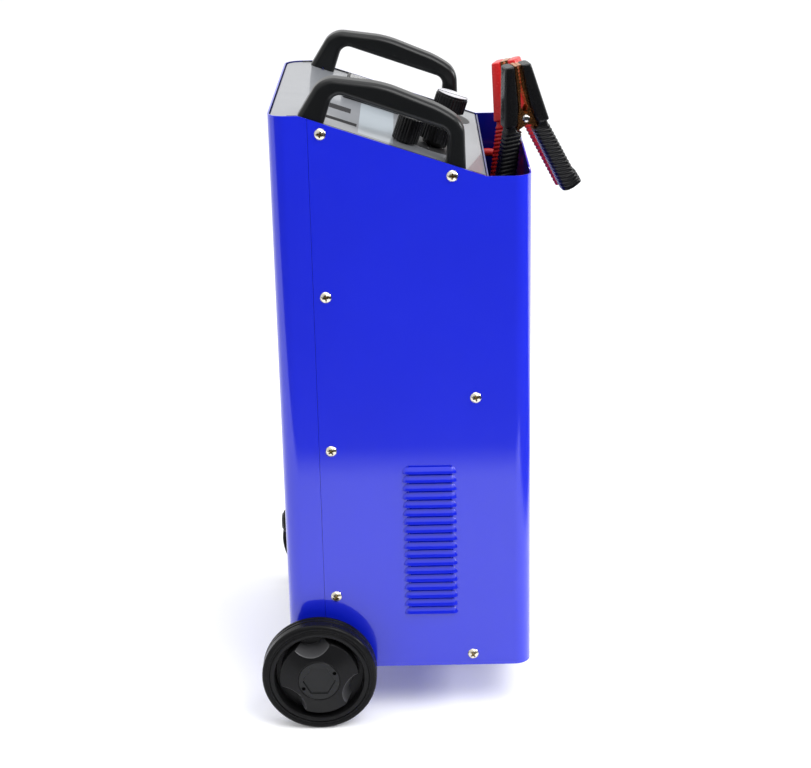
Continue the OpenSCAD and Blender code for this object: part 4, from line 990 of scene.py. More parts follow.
def rear_cover(settings):
    """Rear wall, bent round both rear corners, with flanges that lap under the shell."""
    bm = bmesh.new()
    lap_x = SIDE_X - settings.sheet - FIT
    lap_y = SEAM_Y - LAP
    start_y = SEAM_Y + FIT
    middle_y = REAR_Y - settings.corner
    edges = chain(bm, [(-lap_x, lap_y, SKIRT_Z), (-lap_x, lap_y, TOP_Z)])
    edges = drawn(bm, edges, (0, start_y - JOGGLE - lap_y, 0))
    edges = drawn(bm, edges, (lap_x - SIDE_X, JOGGLE, 0))
    edges = drawn(bm, edges, (0, FOLD_Y - start_y, 0))
    edges = drawn(bm, edges, (0, middle_y - FOLD_Y, 0))
    edges = bent_round(bm, edges, settings.corner, middle_y, -1)
    edges = drawn(bm, edges, (0, FOLD_Y - middle_y, 0))
    edges = drawn(bm, edges, (0, start_y - FOLD_Y, 0))
    edges = drawn(bm, edges, (lap_x - SIDE_X, -JOGGLE, 0))
    drawn(bm, edges, (0, lap_y - start_y + JOGGLE, 0))
    for vert in bm.verts:
        if vert.co.z > MIDDLE.z:
            lapped = abs(vert.co.x) < SIDE_X - settings.sheet and vert.co.y < start_y
            vert.co.z = top_at(vert.co.y) - (LAP_DROP if lapped else 0)
    lips = [REAR_LOUVRE_Z - i * REAR_LOUVRE_PITCH for i in range(REAR_LOUVRES)]
    reach = REAR_LOUVRE_LENGTH / 2 - LOUVRE_END
    opening = LOUVRE_OPENING * settings.louvre_height

    def opened(point):
        on_rear = point.y > REAR_Y - ON_FACE and abs(point.x) < reach
        notched = abs(point.y - AXLE_Y) < AXLE_NOTCH and point.z < AXLE_Z + AXLE_NOTCH
        return notched or (on_rear and in_slot(point, lips, opening))

    planes = slot_planes(lips, opening, (-reach, reach), (1, 0, 0))
    planes += [((0, AXLE_Y + side * AXLE_NOTCH, 0), (0, 1, 0)) for side in SIDES.values()]
    planes.append(((0, 0, AXLE_Z + AXLE_NOTCH), (0, 0, 1)))
    cut_away(bm, planes, opened)
    outwards(bm, MIDDLE)
    add_louvres(bm, lips, REAR_LOUVRE_LENGTH, REAR_BEHIND, settings,
                Matrix.Translation((0, REAR_Y, 0)) @ Matrix.Rotation(math.pi / 2, 4, "Z"))
    piece("rear_sheet", bm, SHEET_FINISHES, ROOT, ["rear_cover"],
          settings.edge, settings.sheet)


class CHARGER_OT_cabinet(ChargerOperator, bpy.types.Operator):
    """Bend the painted front shell and rear cover, with their louvres"""

    bl_idname = "charger.cabinet"
    bl_label = "Cabinet"

    def execute(self, context):
        settings = context.scene.charger_cabinet
        front_shell(settings)
        rear_cover(settings)
        repaint("blue_paint", "base_plate", "front_foot")
        # The pocket's tray is darkened as painted shade
        repaint("inner_paint", "lead_tray")
        return {"FINISHED"}


class CHARGER_OT_screws(ChargerOperator, bpy.types.Operator):
    """Drive the domed case screws with their cross recesses"""

    bl_idname = "charger.screws"
    bl_label = "Case screws"

    head = 0.006
    height = 0.003
    dome = 0.7
    cells = 14
    cross_arm = 0.16
    cross_reach = 0.6
    cross_taper = 0.82
    cross_floor = 0.0006
    # Rear row: depth behind the front, drop from the top and spacing; the others: (depth, height)
    rear_row = (0.212, 0.019, 0.17, 4)
    panel_screw = (0.0805, 0.011)
    low_screws = ((0.0585, 0.371), (0.0635, 0.07075))
    # How far the crosses are turned, in degrees: from row to row, and to each side
    row_turn = 23
    side_turn = 11

    def in_cross(self, face):
        """Whether a cell of the grid lies in the cross recess."""
        middle = face.calc_center_median()
        near, far = sorted((abs(middle.x), abs(middle.y)))
        return near < self.cross_arm and far < self.cross_reach

    def add_head(self, bm, place):
        """One domed head: a disc of cells, with a cross pressed into it."""
        start, before = set(bm.verts), set(bm.faces)
        verts = bmesh.ops.create_grid(bm, x_segments=self.cells, y_segments=self.cells,
                                      size=1)["verts"]
        cross = [face for face in bm.faces if face not in before and self.in_cross(face)]
        for vert in verts:
            x, y = vert.co.x, vert.co.y
            disc = Vector((x * math.sqrt(1 - y * y / 2), y * math.sqrt(1 - x * x / 2)))
            rise = self.height * max(1 - disc.length_squared, 0) ** self.dome
            vert.co = Vector((disc.x * self.head, disc.y * self.head, rise))
        pressed = bmesh.ops.extrude_face_region(bm, geom=cross)["geom"]
        floor_verts = only(bmesh.types.BMVert, pressed)
        bmesh.ops.delete(bm, geom=cross, context="FACES_ONLY")
        for vert in floor_verts:
            vert.co.xy = vert.co.to_2d() * self.cross_taper
            vert.co.z = self.cross_floor
        for face in only(bmesh.types.BMFace, pressed):
            for edge in face.edges:
                for other in edge.link_faces:
                    other.material_index = 1
        bmesh.ops.transform(bm, matrix=place, verts=since(bm, start))

    def execute(self, context):
        depth, drop, spacing, count = self.rear_row
        rows = [(depth, TOP_Z - drop - spacing * i) for i in range(count)]
        depth, drop = self.panel_screw
        rows.append((depth, top_at(FRONT_Y + depth) - drop))
        rows += self.low_screws
        bm = bmesh.new()
        for i, (depth, z) in enumerate(rows):
            for side in SIDES.values():
                turn = math.radians(self.row_turn * i + self.side_turn * side)
                place = Matrix.Translation((side * SIDE_X, FRONT_Y + depth, z))
                place = place @ Matrix.Rotation(side * math.pi / 2, 4, "Y")
                self.add_head(bm, place @ Matrix.Rotation(turn, 4, "Z"))
        face_out(bm)
        piece("case_screw_heads", bm, ["zinc_plate", "recess_brass"], ROOT, ["case_screws"],
              crease=50)
        repaint("zinc_plate", "handle_screws")
        return {"FINISHED"}


class CHARGER_OT_feet(ChargerOperator, bpy.types.Operator):
    """Mould the rubber pads under the front foot"""

    bl_idname = "charger.feet"
    bl_label = "Foot pads"

    profile = (
        (0, 0.0015), (0.008, 0.0015), (0.009, 0), (0.012, 0), (0.014, 0.002), (0.014, 0.006),
        (0.0125, 0.008), (0, 0.008))

    def execute(self, context):
        low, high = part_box("foot_pads")
        radius = max(reach for reach, _ in self.profile)
        bm = bmesh.new()
        for x in (low.x + radius, high.x - radius):
            lathe(bm, self.profile, 48, Matrix.Translation((x, (low.y + high.y) / 2, 0)))
        face_out(bm)
        piece("rubber_pads", bm, "pad_rubber", ROOT, ["foot_pads"], edge=0.0004)
        return {"FINISHED"}


# Control panel

PANEL_HALF = 0.1602
PANEL_REAR_Y = 0.11595
UNDER_PANEL = Vector((0, 0, 0.5))


class CHARGER_OT_panel(ChargerOperator, bpy.types.Operator):
    """Fold the silver-grey control panel with its printing"""

    bl_idname = "charger.panel"
    bl_label = "Control panel"

    corner = 0.0162
    fold_radius = 0.0025
    rim_drop = 0.022
    lip_drop = 0.013
    side_drop = 0.006
    edge = 0.0003
    # A thin black strip along each side edge of the panel, which darkens the line where the panel
    # meets the shell
    edge_strip_x = 0.1589
    edge_strip_width = 0.0024
    edge_strip_height = 0.002
    edge_strip_gap = 0.004
    edge_strip_end = 0.02
    edge_strip_edge = 0.0004

    def fold_sheet(self, bm):
        """The flat strip, the long slope and the flanges round them."""
        front_y = POCKET_Y + FIT
        run = FOLD_Y - front_y
        plan = [(-PANEL_HALF, FOLD_Y), (PANEL_HALF, FOLD_Y), (PANEL_HALF, PANEL_REAR_Y),
                (-PANEL_HALF, PANEL_REAR_Y)]
        verts = [bm.verts.new((x, y, PANEL_Z)) for x, y in plan]
        bm.faces.new(verts)
        fold = bm.edges.get(verts[:2])
        for vert in verts[2:]:
            rounded(bm, [vert], self.corner, 8, "VERTICES")
        rim = [edge for edge in bm.edges if edge is not fold]
        lip = [edge for edge in drawn(bm, [fold], (0, -run, -run * math.tan(TILT)))
               if all(vert.co.y < POCKET_Y + run / 2 for vert in edge.verts)]
        sides = [edge for edge in bm.edges
                 if abs(edge.verts[0].co.y - edge.verts[1].co.y) > run - ON_FACE]
        for edges, drop in ((rim, self.rim_drop), (lip, self.lip_drop), (sides, self.side_drop)):
            drawn(bm, edges, (0, 0, -drop))
        outwards(bm, UNDER_PANEL)
        rounded(bm, [fold] + lip + rim + sides, self.fold_radius, 4)

    def execute(self, context):
        bm = bmesh.new()
        self.fold_sheet(bm)
        piece("panel_sheet", bm, "panel_paint", ROOT, ["control_panel"], self.edge,
              context.scene.charger_cabinet.sheet, 30)
        bm = bmesh.new()
        length = (FOLD_Y - POCKET_Y) / math.cos(TILT)
        flat = REAR_Y - self.edge_strip_end - FOLD_Y
        for side in SIDES.values():
            x = side * self.edge_strip_x
            for run, place in ((length - self.edge_strip_gap, on_panel(x, length / 2)),
                               (flat, Matrix.Translation((x, FOLD_Y + flat / 2, PANEL_Z)))):
                block(bm, (self.edge_strip_width, run, self.edge_strip_height), place, self.edge_strip_edge)
        piece("panel_gasket", bm, "pad_rubber", ROOT)
        return {"FINISHED"}


class CHARGER_OT_handles(ChargerOperator, bpy.types.Operator):
    """Mould the two arched handles"""

    bl_idname = "charger.handles"
    bl_label = "Handles"

    inset = 0.002
    # (distance down the slope, height above it, corner radius)
    outline = (
        (0.0, 0.0, 0.0), (0.0105, 0.0445, 0.022), (0.072, 0.0565, 0.1), (0.137, 0.0523, 0.1),
        (0.161, 0.0445, 0.022), (0.1775, 0.0, 0.0), (0.1565, 0.0, 0.0), (0.1485, 0.032, 0.01),
        (0.0274, 0.033, 0.01), (0.0274, 0.0, 0.0))

    def execute(self, context):
        settings = context.scene.charger_controls
        for name, side in SIDES.items():
            bm = bmesh.new()
            rounded_plate(bm, [(-u, v, radius) for u, v, radius in self.outline],
                          settings.handle_width)
            rims = [edge for edge in bm.edges
                    if abs(edge.verts[0].co.x - edge.verts[1].co.x) < WELD
                    and max(vert.co.z for vert in edge.verts) > 10 * WELD]
            rounded(bm, rims, settings.handle_round, 5, clamp=True)
            move(bm, on_panel(side * (SIDE_X - self.inset - settings.handle_width / 2), 0))
            piece(f"{name}_handle_moulding", bm, "handle_plastic", ROOT, [f"handle_{name}"],
                  crease=60)
        return {"FINISHED"}


# Controls on the panel

# Each control's place across the slope and down it
KNOBS = {"charge": (0.097, 0.162), "voltage": (-0.09, 0.144)}
SELECTOR = (-0.116, 0.112)
BREAKER = (0, 0.166)
# Shares of a knob's radius round one flute, and (rise, inset) shares of its rounded top edge
FLUTE = (1, 0.98, 0.945, 0.98)
ROUND_TOP = ((0.45, 0.12), (0.4, 0.4), (0.15, 0.5))
TICK_HEIGHT = 0.00006


def add_ticks(bm, count, first, last, inner, outer, width, height):
    """Printed marks on an arc, angles in degrees from straight up the slope."""
    for i in range(count):
        angle = math.radians(first + (last - first) * i / (count - 1))
        place = Matrix.Translation((0, (inner + outer) / 2, height))
        block(bm, (width, outer - inner, TICK_HEIGHT), Matrix.Rotation(-angle, 4, "Z") @ place)


def round_dial(angle, radius, height):
    """A place on a dial at an angle in radians from straight up the slope."""
    return Matrix.Translation((radius * math.sin(angle), radius * math.cos(angle), height))


def fluted(bm, radius, low, high, flutes, edge):
    """A fluted knob body from low to high, its top edge rounded."""
    verts, edges = ring(bm, len(FLUTE) * flutes, radius)
    for i, vert in enumerate(sorted(verts, key=lambda v: math.atan2(v.co.y, v.co.x))):
        vert.co *= FLUTE[i % len(FLUTE)]
        vert.co.z = low
    bmesh.ops.edgeloop_fill(bm, edges=edges)
    top = drawn(bm, edges, (0, 0, high - edge - low))
    for rise, inset in ROUND_TOP:
        top = drawn(bm, top, (0, 0, rise * edge))
        for vert in verts_of(top):
            flat = vert.co.to_2d()
            vert.co.xy = flat * (1 - inset * edge / flat.length)
    return top


class CHARGER_OT_knobs(ChargerOperator, bpy.types.Operator):
    """Turn the capped knobs and the selector, with their printed dials"""

    bl_idname = "charger.knobs"
    bl_label = "Knobs"

    radius = 0.0185
    under = 0.0065
    top = 0.0255
    slot_depth = 0.0032
    slot_half = 0.003
    body_edge = 0.0004
    cap_inset = 0.0006
    cap_edge = 0.0005
    # A cap's faces that turn up less than this are the dark sides
    cap_facing = 0.3
    skirt = ((0.0095, 0.0015), (0.012, 0.0015), (0.013, 0.0025), (0.013, 0.0065))
    ring_bore = 0.0105
    ring_height = 0.00025
    # Marks: how far inside the ring's edge they begin and end, their width and their height
    small_mark = (0.0075, 0.0062, 0.0005, 0.0003)
    large_mark = (0.0078, 0.0056, 0.0009, 0.00031)
    number_inset = 0.003
    number_size = 0.0042
    selector_radius = 0.01375
    selector_low = 0.0015
    selector_high = 0.027
    selector_edge = 0.0015
    selector_fewer_flutes = 6
    pointer_size = (0.0014, 0.008, 0.0001)
    pointer_place = (0, 0.0075, 0.02698)
    # Printed dials: name, radius, numbers and half their spread in degrees
    dials = (("charge", 0.028, "123456", 75), ("voltage", 0.031, ("12", "24"), 150))

    def fluted_body(self, name, body, node, place, fluted_size, skirt=()):
        """A fluted knob with a flat top, and the skirt under it."""
        bm = bmesh.new()
        bmesh.ops.edgeloop_fill(bm, edges=fluted(bm, *fluted_size))
        if skirt:
            lathe(bm, skirt, 48)
        face_out(bm)
        move(bm, place)
        piece(name, bm, "knob_plastic", body, [node], crease=45)

    def half_cap(self, side, floor):
        """One half of the flat cap, beside the slot."""
        bm = bmesh.new()
        bmesh.ops.create_circle(bm, cap_ends=True, segments=96,
                                radius=self.radius - self.cap_inset)
        bmesh.ops.bisect_plane(bm, geom=bm.verts[:] + bm.edges[:] + bm.faces[:], dist=CUT,
                               plane_co=(side * self.slot_half, 0, 0), plane_no=(-side, 0, 0),
                               clear_outer=True)
        bmesh.ops.translate(bm, verts=bm.verts[:], vec=(0, 0, floor))
        raised = lifted(bm, bm.faces[:], (0, 0, self.slot_depth))
        rounded(bm, only(bmesh.types.BMEdge, raised), self.cap_edge, 2)
        return bm

    def capped_knob(self, name, place, flutes, cap_finish):
        """A fluted knob whose flat top is split by a deep slot."""
        floor = self.top - self.slot_depth
        self.fluted_body(f"{name}_knob_body", f"{name}_dial", f"{name}_knob", place,
                         (self.radius, self.under, floor, flutes, self.body_edge), self.skirt)
        bm = bmesh.new()
        for side in SIDES.values():
            join(bm, self.half_cap(side, floor))
        face_out(bm)
        for face in bm.faces:
            if face.normal.z < self.cap_facing:
                face.material_index = 1
        move(bm, place)
        piece(f"{name}_knob_disc", bm, [cap_finish, "knob_plastic"], f"{name}_dial",
              [f"{name}_cap"], crease=30)

    def dial_plate(self, name, reach, marks, spread):
        """A black printed ring on the panel with white marks and numbers."""
        place = on_panel(*KNOBS[name])
        bm = bmesh.new()
        lathe(bm, [(self.ring_bore, 0), (reach, 0), (reach, self.ring_height),
                   (self.ring_bore, self.ring_height), (self.ring_bore, 0)], 72)
        face_out(bm)
        move(bm, place)
        piece(f"{name}_dial_ring", bm, "black_ink", ROOT)
        bm = bmesh.new()
        spaces = len(marks) - 1
        for count, mark in ((4 * spaces + 1, self.small_mark), (spaces + 1, self.large_mark)):
            inner, outer, width, height = mark
            add_ticks(bm, count, -spread, spread, reach - inner, reach - outer, width, height)
        for i, mark in enumerate(marks):
            angle = math.radians(-spread + 2 * spread * i / spaces)
            spot = round_dial(angle, reach - self.number_inset, self.small_mark[-1])
            lettering(bm, mark, self.number_size, spot)
        move(bm, place)
        piece(f"{name}_dial_marks", bm, "white_ink", ROOT)

    def selector(self, flutes):
        """The tall black selector with a white pointer line."""
        place = on_panel(*SELECTOR)
        self.fluted_body("selector_body", "selector_dial", "selector_knob", place,
                         (self.selector_radius, self.selector_low, self.selector_high,
                          flutes - self.selector_fewer_flutes, self.selector_edge))
        bm = bmesh.new()
        block(bm, self.pointer_size, place @ Matrix.Translation(self.pointer_place))
        piece("selector_pointer", bm, "white_ink", "selector_dial")

    def execute(self, context):
        flutes = context.scene.charger_controls.flutes
        for name, cap_finish in (("charge", "turned_aluminium"), ("voltage", "knob_plastic")):
            self.capped_knob(name, on_panel(*KNOBS[name]), flutes, cap_finish)
        self.selector(flutes)
        for dial in self.dials:
            self.dial_plate(*dial)
        repaint("meter_plastic", "charge_switch", "voltage_switch", "selector_switch")
        return {"FINISHED"}


METER = (0.052, 0.074)
METER_SIZE = (0.084, 0.064, 0.013)
METER_WALL = 0.003
DIAL_HEIGHT = 0.004
NEEDLE_DROP = 0.017
SWING = 45


class CHARGER_OT_meter(ChargerOperator, bpy.types.Operator):
    """Fit the current meter: case, scale, needle and window"""

    bl_idname = "charger.meter"
    bl_label = "Meter"

    case_edge = 0.0015
    card = 0.001
    pane_height = 0.002
    pane_edge = 0.0004
    barrel = ((0.028, 0.0005), (0.028, -0.033), (0.027, -0.034), (0, -0.034))
    # Marks of the scale: count, inner and outer radius, width and height
    marks = ((31, 0.0295, 0.0312, 0.0004, 0), (7, 0.0295, 0.0335, 0.0007, 0.00001),
             (91, 0.0291, 0.0295, 0.0006, 0))
    number_radius = 0.0365
    number_size = 0.0045
    unit_size = 0.008
    unit_rise = 0.013
    needle_size = (0.002, 0.042, 0.0008)
    needle_place = (0, 0.015, 0.0024)
    needle_taper = 0.35
    pivot = ((0, -0.0039), (0.0015, -0.0039), (0.0015, 0.0018), (0.003, 0.002), (0.003, 0.0026),
             (0.002, 0.0032), (0, 0.0034))

    def case(self, place):
        """The open case and the barrel behind it."""
        height = METER_SIZE[2]
        bm = bmesh.new()
        block(bm, METER_SIZE, Matrix.Translation((0, 0, height / 2)), self.case_edge)
        lid = max(bm.faces, key=lambda face: face.calc_center_median().z + face.calc_area())
        bmesh.ops.inset_region(bm, faces=[lid], thickness=METER_WALL - self.case_edge)
        lifted(bm, [lid], (0, 0, DIAL_HEIGHT - self.card - height))
        bmesh.ops.delete(bm, geom=[lid], context="FACES_ONLY")
        lathe(bm, self.barrel, 64)
        move(bm, place)
        face_out(bm)
        piece("meter_housing", bm, "meter_plastic", ROOT, ["meter_case"],
              edge=0.0004)

    def scale(self, place):
        """The printed arc, ticks and numbers of the scale."""
        bm = bmesh.new()
        for count, inner, outer, width, height in self.marks:
            add_ticks(bm, count, -SWING, SWING, inner, outer, width, height)
        for i in range(0, 7, 2):
            spot = round_dial(math.radians(SWING * (i / 3 - 1)), self.number_radius, 0)
            lettering(bm, str(10 * i), self.number_size, spot)
        lettering(bm, "A", self.unit_size, Matrix.Translation((0, self.unit_rise, 0)))
        move(bm, place @ Matrix.Translation((0, -NEEDLE_DROP, DIAL_HEIGHT + INK)))
        piece("meter_scale", bm, "black_ink", ROOT)

    def needle(self, place):
        """The needle, with a domed pivot, at rest on the left."""
        rest = place @ Matrix.Translation((0, -NEEDLE_DROP, DIAL_HEIGHT))
        rest = rest @ Matrix.Rotation(math.radians(SWING), 4, "Z")
        bm = bmesh.new()
        for vert in block(bm, self.needle_size, Matrix.Translation(self.needle_place)):
            if vert.co.y > 0:
                vert.co.x *= self.needle_taper
        lathe(bm, self.pivot, 24)
        face_out(bm)
        move(bm, rest)
        piece("meter_pointer", bm, "black_ink", "needle", ["meter_needle"],
              edge=0.0001)

    def pane(self, place):
        """The clear window."""
        width, length, height = METER_SIZE
        bm = bmesh.new()
        block(bm, (width - 2 * METER_WALL, length - 2 * METER_WALL, self.pane_height),
              place @ Matrix.Translation((0, 0, height - self.pane_height / 2)), self.pane_edge)
        piece("meter_pane", bm, "clear_glass", ROOT, ["meter_window"])

    def execute(self, context):
        place = on_panel(*METER)
        self.case(place)
        self.scale(place)
        repaint("dial_card", "meter_dial")
        self.needle(place)
        self.pane(place)
        return {"FINISHED"}


class CHARGER_OT_breaker(ChargerOperator, bpy.types.Operator):
    """Fit the overload breaker's ring and red button"""

    bl_idname = "charger.breaker"
    bl_label = "Breaker"

    ring_profile = (
        (0.0043, -0.006), (0.0043, 0.0035), (0.0047, 0.004), (0.0058, 0.004), (0.0065, 0.0033),
        (0.0065, 0), (0.0052, 0), (0.0052, -0.0015))
    button_profile = (
        (0, -0.004), (0.004, -0.004), (0.004, 0.0085), (0.0035, 0.0095), (0.002, 0.01), (0, 0.01))

    def execute(self, context):
        bm = bmesh.new()
        lathe(bm, self.ring_profile, 48, on_panel(*BREAKER))
        face_out(bm)
        piece("breaker_ring", bm, "spring_steel", ROOT, edge=0.0002)
        bm = bmesh.new()
        lathe(bm, self.button_profile, 40, on_panel(*BREAKER))
        face_out(bm)
        piece("reset_button_cap", bm, "button_plastic", "reset_button", ["breaker_button"])
        repaint("meter_plastic", "breaker_body")
        return {"FINISHED"}


# Wheels

LOBE_RADIUS = 0.043
BAY_RADIUS = 0.0244
BAY_FLOOR_RADIUS = 0.017
BAY_REACH = 0.0525
BAY_TURN = math.radians(-10)
BOSS_RADIUS = 0.0245
CAP_RADIUS = 0.0225
HUB_FRONT = 0.033
LOBE_FRONT = 0.026
WEB_FACE = 0.012
CAP_HEIGHT = 0.003
CAP_FIT = 0.00015
HEXAGON = 0.018


class CHARGER_OT_wheels(ChargerOperator, bpy.types.Operator):
    """Mould the tyres, the lobed hubs and the hub caps"""

    bl_idname = "charger.wheels"
    bl_label = "Wheels"

    shoulder = 0.004
    tyre_height = 0.008
    # Tread grooves: their places as shares of the width, half widths at top and floor, and depth
    groove_places = (0.28, 0.5)
    groove = (0.0011, 0.0007, 0.0012)
    # The bead round the sidewall: (distance out from the bore, depth)
    bead = ((0.003, 0), (0.0026, 0.0005), (0.0018, 0.0005), (0.0014, 0), (0, 0))
    rim_profile = (
        (0.0061, -0.005), (0.016, -0.005), (0.016, 0.008), (0.0485, 0.008), (0.0485, 0.001),
        (0.0545, 0.001), (0.0545, 0.025), (0.0525, 0.0262), (0.0495, 0.0258), (0.0485, 0.0245),
        (0.0475, WEB_FACE), (0.0061, WEB_FACE), (0.0061, -0.005))
    # Edges between the walls of the lobes that bend by more than this angle are rounded
    lobe_corner_angle = 0.5
    lobe_corner = 0.0018
    lobe_edge = 0.0012
    bay_inset = 0.0008
    cap_edge = 0.0005
    hexagon_depth = 0.002
    hexagon_draft = 0.965
    dimple_radius = 0.0025
    dimple_depth = 0.0006
    dimple_draft = 0.4
    notch_turns = (62, 242)
    notch_inset = 0.0032
    # From the cap's face
    notch_profile = ((0, 0.00008), (0.002, 0.00008), (0.0022, -0.0004))

    def at_wheel(self, bm, side):
        """Moves a wheel piece from the Z axis to its end of the axle, outer face outwards."""
        out = Matrix.Rotation(math.pi / 2, 4, "Y") @ Matrix.Rotation(math.pi, 4, "Z")
        place = Matrix.Translation((side * WHEEL_X, AXLE_Y, AXLE_Z))
        move(bm, place @ Matrix.Diagonal((side, 1, 1, 1)) @ out)
        weld(bm, bm.verts[:])
        face_out(bm)

    def tyre(self, bm):
        """A grooved tread, round shoulders and a beaded sidewall."""
        settings = bpy.context.scene.charger_wheels
        radius, width = settings.radius, settings.width
        bore, shoulder = radius - self.tyre_height, self.shoulder
        turns = [math.radians(15 * i) for i in range(7)]
        profile = [(bore, 0)]
        profile += [(radius - shoulder * (1 - math.sin(turn)), shoulder * (1 - math.cos(turn)))
                    for turn in turns]
        top, floor, depth = self.groove
        for middle in (share * width for share in self.groove_places):
            profile += [(radius, middle - top), (radius - depth, middle - floor),
                        (radius - depth, middle + floor), (radius, middle + top)]
        profile += [(radius - shoulder * (1 - math.cos(turn)),
                     width - shoulder * (1 - math.sin(turn))) for turn in turns]
        profile += [(bore + out, width - depth) for out, depth in self.bead]
        lathe(bm, profile + [(bore, 0)], 120)

    def lobe_outline(self, bm, bay):
        """The flat outline of three lobes, with round bays of one radius between them."""
        half = math.acos((LOBE_RADIUS ** 2 + BAY_REACH ** 2 - bay ** 2)
                         / (2 * LOBE_RADIUS * BAY_REACH))
        sweep = math.asin(LOBE_RADIUS * math.sin(half) / bay)
        start = set(bm.verts)
        first = BAY_TURN + half
        last = bm.verts.new((LOBE_RADIUS * math.cos(first), LOBE_RADIUS * math.sin(first), 0))
        for i in range(3):
            arc = bmesh.ops.spin(bm, geom=[last], cent=(0, 0, 0), axis=(0, 0, 1),
                                 angle=2 * math.pi / 3 - 2 * half, steps=20)["geom_last"]
            last = only(bmesh.types.BMVert, arc)[0]
            turn = BAY_TURN + 2 * math.pi * (i + 1) / 3
            centre = (BAY_REACH * math.cos(turn), BAY_REACH * math.sin(turn), 0)
            arc = bmesh.ops.spin(bm, geom=[last], cent=centre, axis=(0, 0, -1), angle=2 * sweep,
                                 steps=16)["geom_last"]
            last = only(bmesh.types.BMVert, arc)[0]
        weld(bm, since(bm, start))
        made = since(bm, start)
        return made, edges_at(made)

    def hub(self, bm):
        """The rim and the web, and three lobes round the boss with scooped bays between them."""
        lathe(bm, self.rim_profile, 96)
        made, outline = self.lobe_outline(bm, BAY_RADIUS)
        slope = (HUB_FRONT - LOBE_FRONT) / (LOBE_RADIUS - BOSS_RADIUS)
        for vert in made:
            vert.co.z = HUB_FRONT - slope * (vert.co.to_2d().length - BOSS_RADIUS)
        foot, foot_edges = self.lobe_outline(bm, BAY_FLOOR_RADIUS)
        bmesh.ops.translate(bm, verts=foot, vec=(0, 0, WEB_FACE))
        before = set(bm.faces)
        bmesh.ops.bridge_loops(bm, edges=outline + foot_edges)
        walls = [face for face in bm.faces if face not in before]
        corners = [edge for edge in edges_of(walls)
                   if edge.is_manifold and edge.calc_face_angle() > self.lobe_corner_angle]
        rounded(bm, corners, self.lobe_corner, 3)
        walls = [face for face in bm.faces if face not in before]
        # The bay walls take the lighter plastic: painted light
        for face in walls:
            if face.calc_center_median().to_2d().length < LOBE_RADIUS - self.bay_inset:
                face.material_index = 1
        halfway = (WEB_FACE + LOBE_FRONT) / 2
        outline = [edge for edge in edges_of(walls)
                   if edge.is_boundary and min(vert.co.z for vert in edge.verts) > halfway]
        _, boss = ring(bm, len(outline), BOSS_RADIUS, (0, 0, HUB_FRONT))
        bmesh.ops.bridge_loops(bm, edges=outline + boss)
        seat = drawn(bm, boss, (0, 0, 0))
        set_radius(seat, CAP_RADIUS + CAP_FIT)
        drawn(bm, seat, (0, 0, -CAP_HEIGHT))
        rounded(bm, outline, self.lobe_edge, 3, clamp=True)

    def cap(self, bm):
        """A disc with a sunk hexagon and a dimple."""
        _, rim = ring(bm, 72, CAP_RADIUS, (0, 0, HUB_FRONT - CAP_HEIGHT))
        bmesh.ops.edgeloop_fill(bm, edges=rim)
        top = drawn(bm, rim, (0, 0, CAP_HEIGHT - self.cap_edge))
        top = drawn(bm, top, (0, 0, self.cap_edge))
        widen(top, 1 - self.cap_edge / CAP_RADIUS)
        hexagon = drawn(bm, top, (0, 0, 0))
        sixth = math.pi / 6
        for vert in verts_of(hexagon):
            flat = vert.co.to_2d()
            turn = (math.atan2(flat.y, flat.x) + sixth) % (2 * sixth) - sixth
            vert.co.xy = flat.normalized() * (HEXAGON * math.cos(sixth) / math.cos(turn))
        sunk = drawn(bm, hexagon, (0, 0, -self.hexagon_depth))
        widen(sunk, self.hexagon_draft)
        dimple = drawn(bm, sunk, (0, 0, 0))
        set_radius(dimple, self.dimple_radius)
        pit = drawn(bm, dimple, (0, 0, -self.dimple_depth))
        widen(pit, self.dimple_draft)
        bmesh.ops.edgeloop_fill(bm, edges=pit)

    def notches(self, bm):
        """Black discs on the cap's face: painted shade where the two pry notches are."""
        profile = [(radius, HUB_FRONT + rise) for radius, rise in self.notch_profile]
        for turn in self.notch_turns:
            angle = math.radians(turn)
            spot = Vector((math.cos(angle), math.sin(angle), 0)) * (CAP_RADIUS - self.notch_inset)
            lathe(bm, profile, 20, Matrix.Translation(spot))

    def execute(self, context):
        parts = (
            ("tyre_ring", self.tyre, "tyre_rubber", ["tyre"], "tyre_black", 0.0003),
            ("hub_moulding", self.hub, ["hub_plastic", "bay_plastic"], ["hub"], "hub_plastic",
             0.0004),
            ("hub_cap", self.cap, "handle_plastic", ["cap"], "hub_plastic", 0.0002),
            ("cap_notches", self.notches, "hole_black", [], "hub_plastic", 0.0))
        for name, side in SIDES.items():
            for part, make, finishes, nodes, slot, edge in parts:
                bm = bmesh.new()
                make(bm)
                self.at_wheel(bm, side)
                piece(f"{name}_{part}", bm, finishes, f"wheel_{name}",
                      [f"{node}_{name}" for node in nodes], edge)
        repaint("axle_steel", "axle")
        return {"FINISHED"}


# Clamps: local Z up the middle line, +Y towards the rear arm

NOSE_A = 0.058
SHOULDER_A = -0.006
PIVOT_A = 0.014
GRIP_END_A = -0.085
GRIP_LIP = 0.003
WELL_DEPTH = 0.012
INNER = 0.006
PIVOT_RELIEF = 0.0056
GRIP_HALF = 0.012
COVER_HALF = 0.013
SQUARENESS = 0.42
COVER_STEP = 0.008
# Each face's distance from the middle line, and how far it moves out over a length of the arm
COVER_INNER, COVER_INNER_TAPER = 0.0036, (0.0024, 0.044)
COVER_OUTER, COVER_OUTER_TAPER = 0.0145, (0.011, 0.064)
COVER_RELIEF_TAPER = (PIVOT_RELIEF, 0.025)
GRIP_INNER_TAPER = (0.0215, 0.072)
GRIP_OUTER, GRIP_OUTER_TAPER = 0.0232, (0.0258, 0.075)
GRIP_RELIEF_RUN = 0.003
# The groove below the shoulder: (place along the arm, inset), and where the ribs start
NECK = (-0.001, 0.0008)
RIBS_FROM = -0.006
# Insets at the grip's end: before its lip, at the lip, inside the wall and down in the well
GRIP_INSETS = (0.0004, 0.0006, 0.0028, 0.0034)
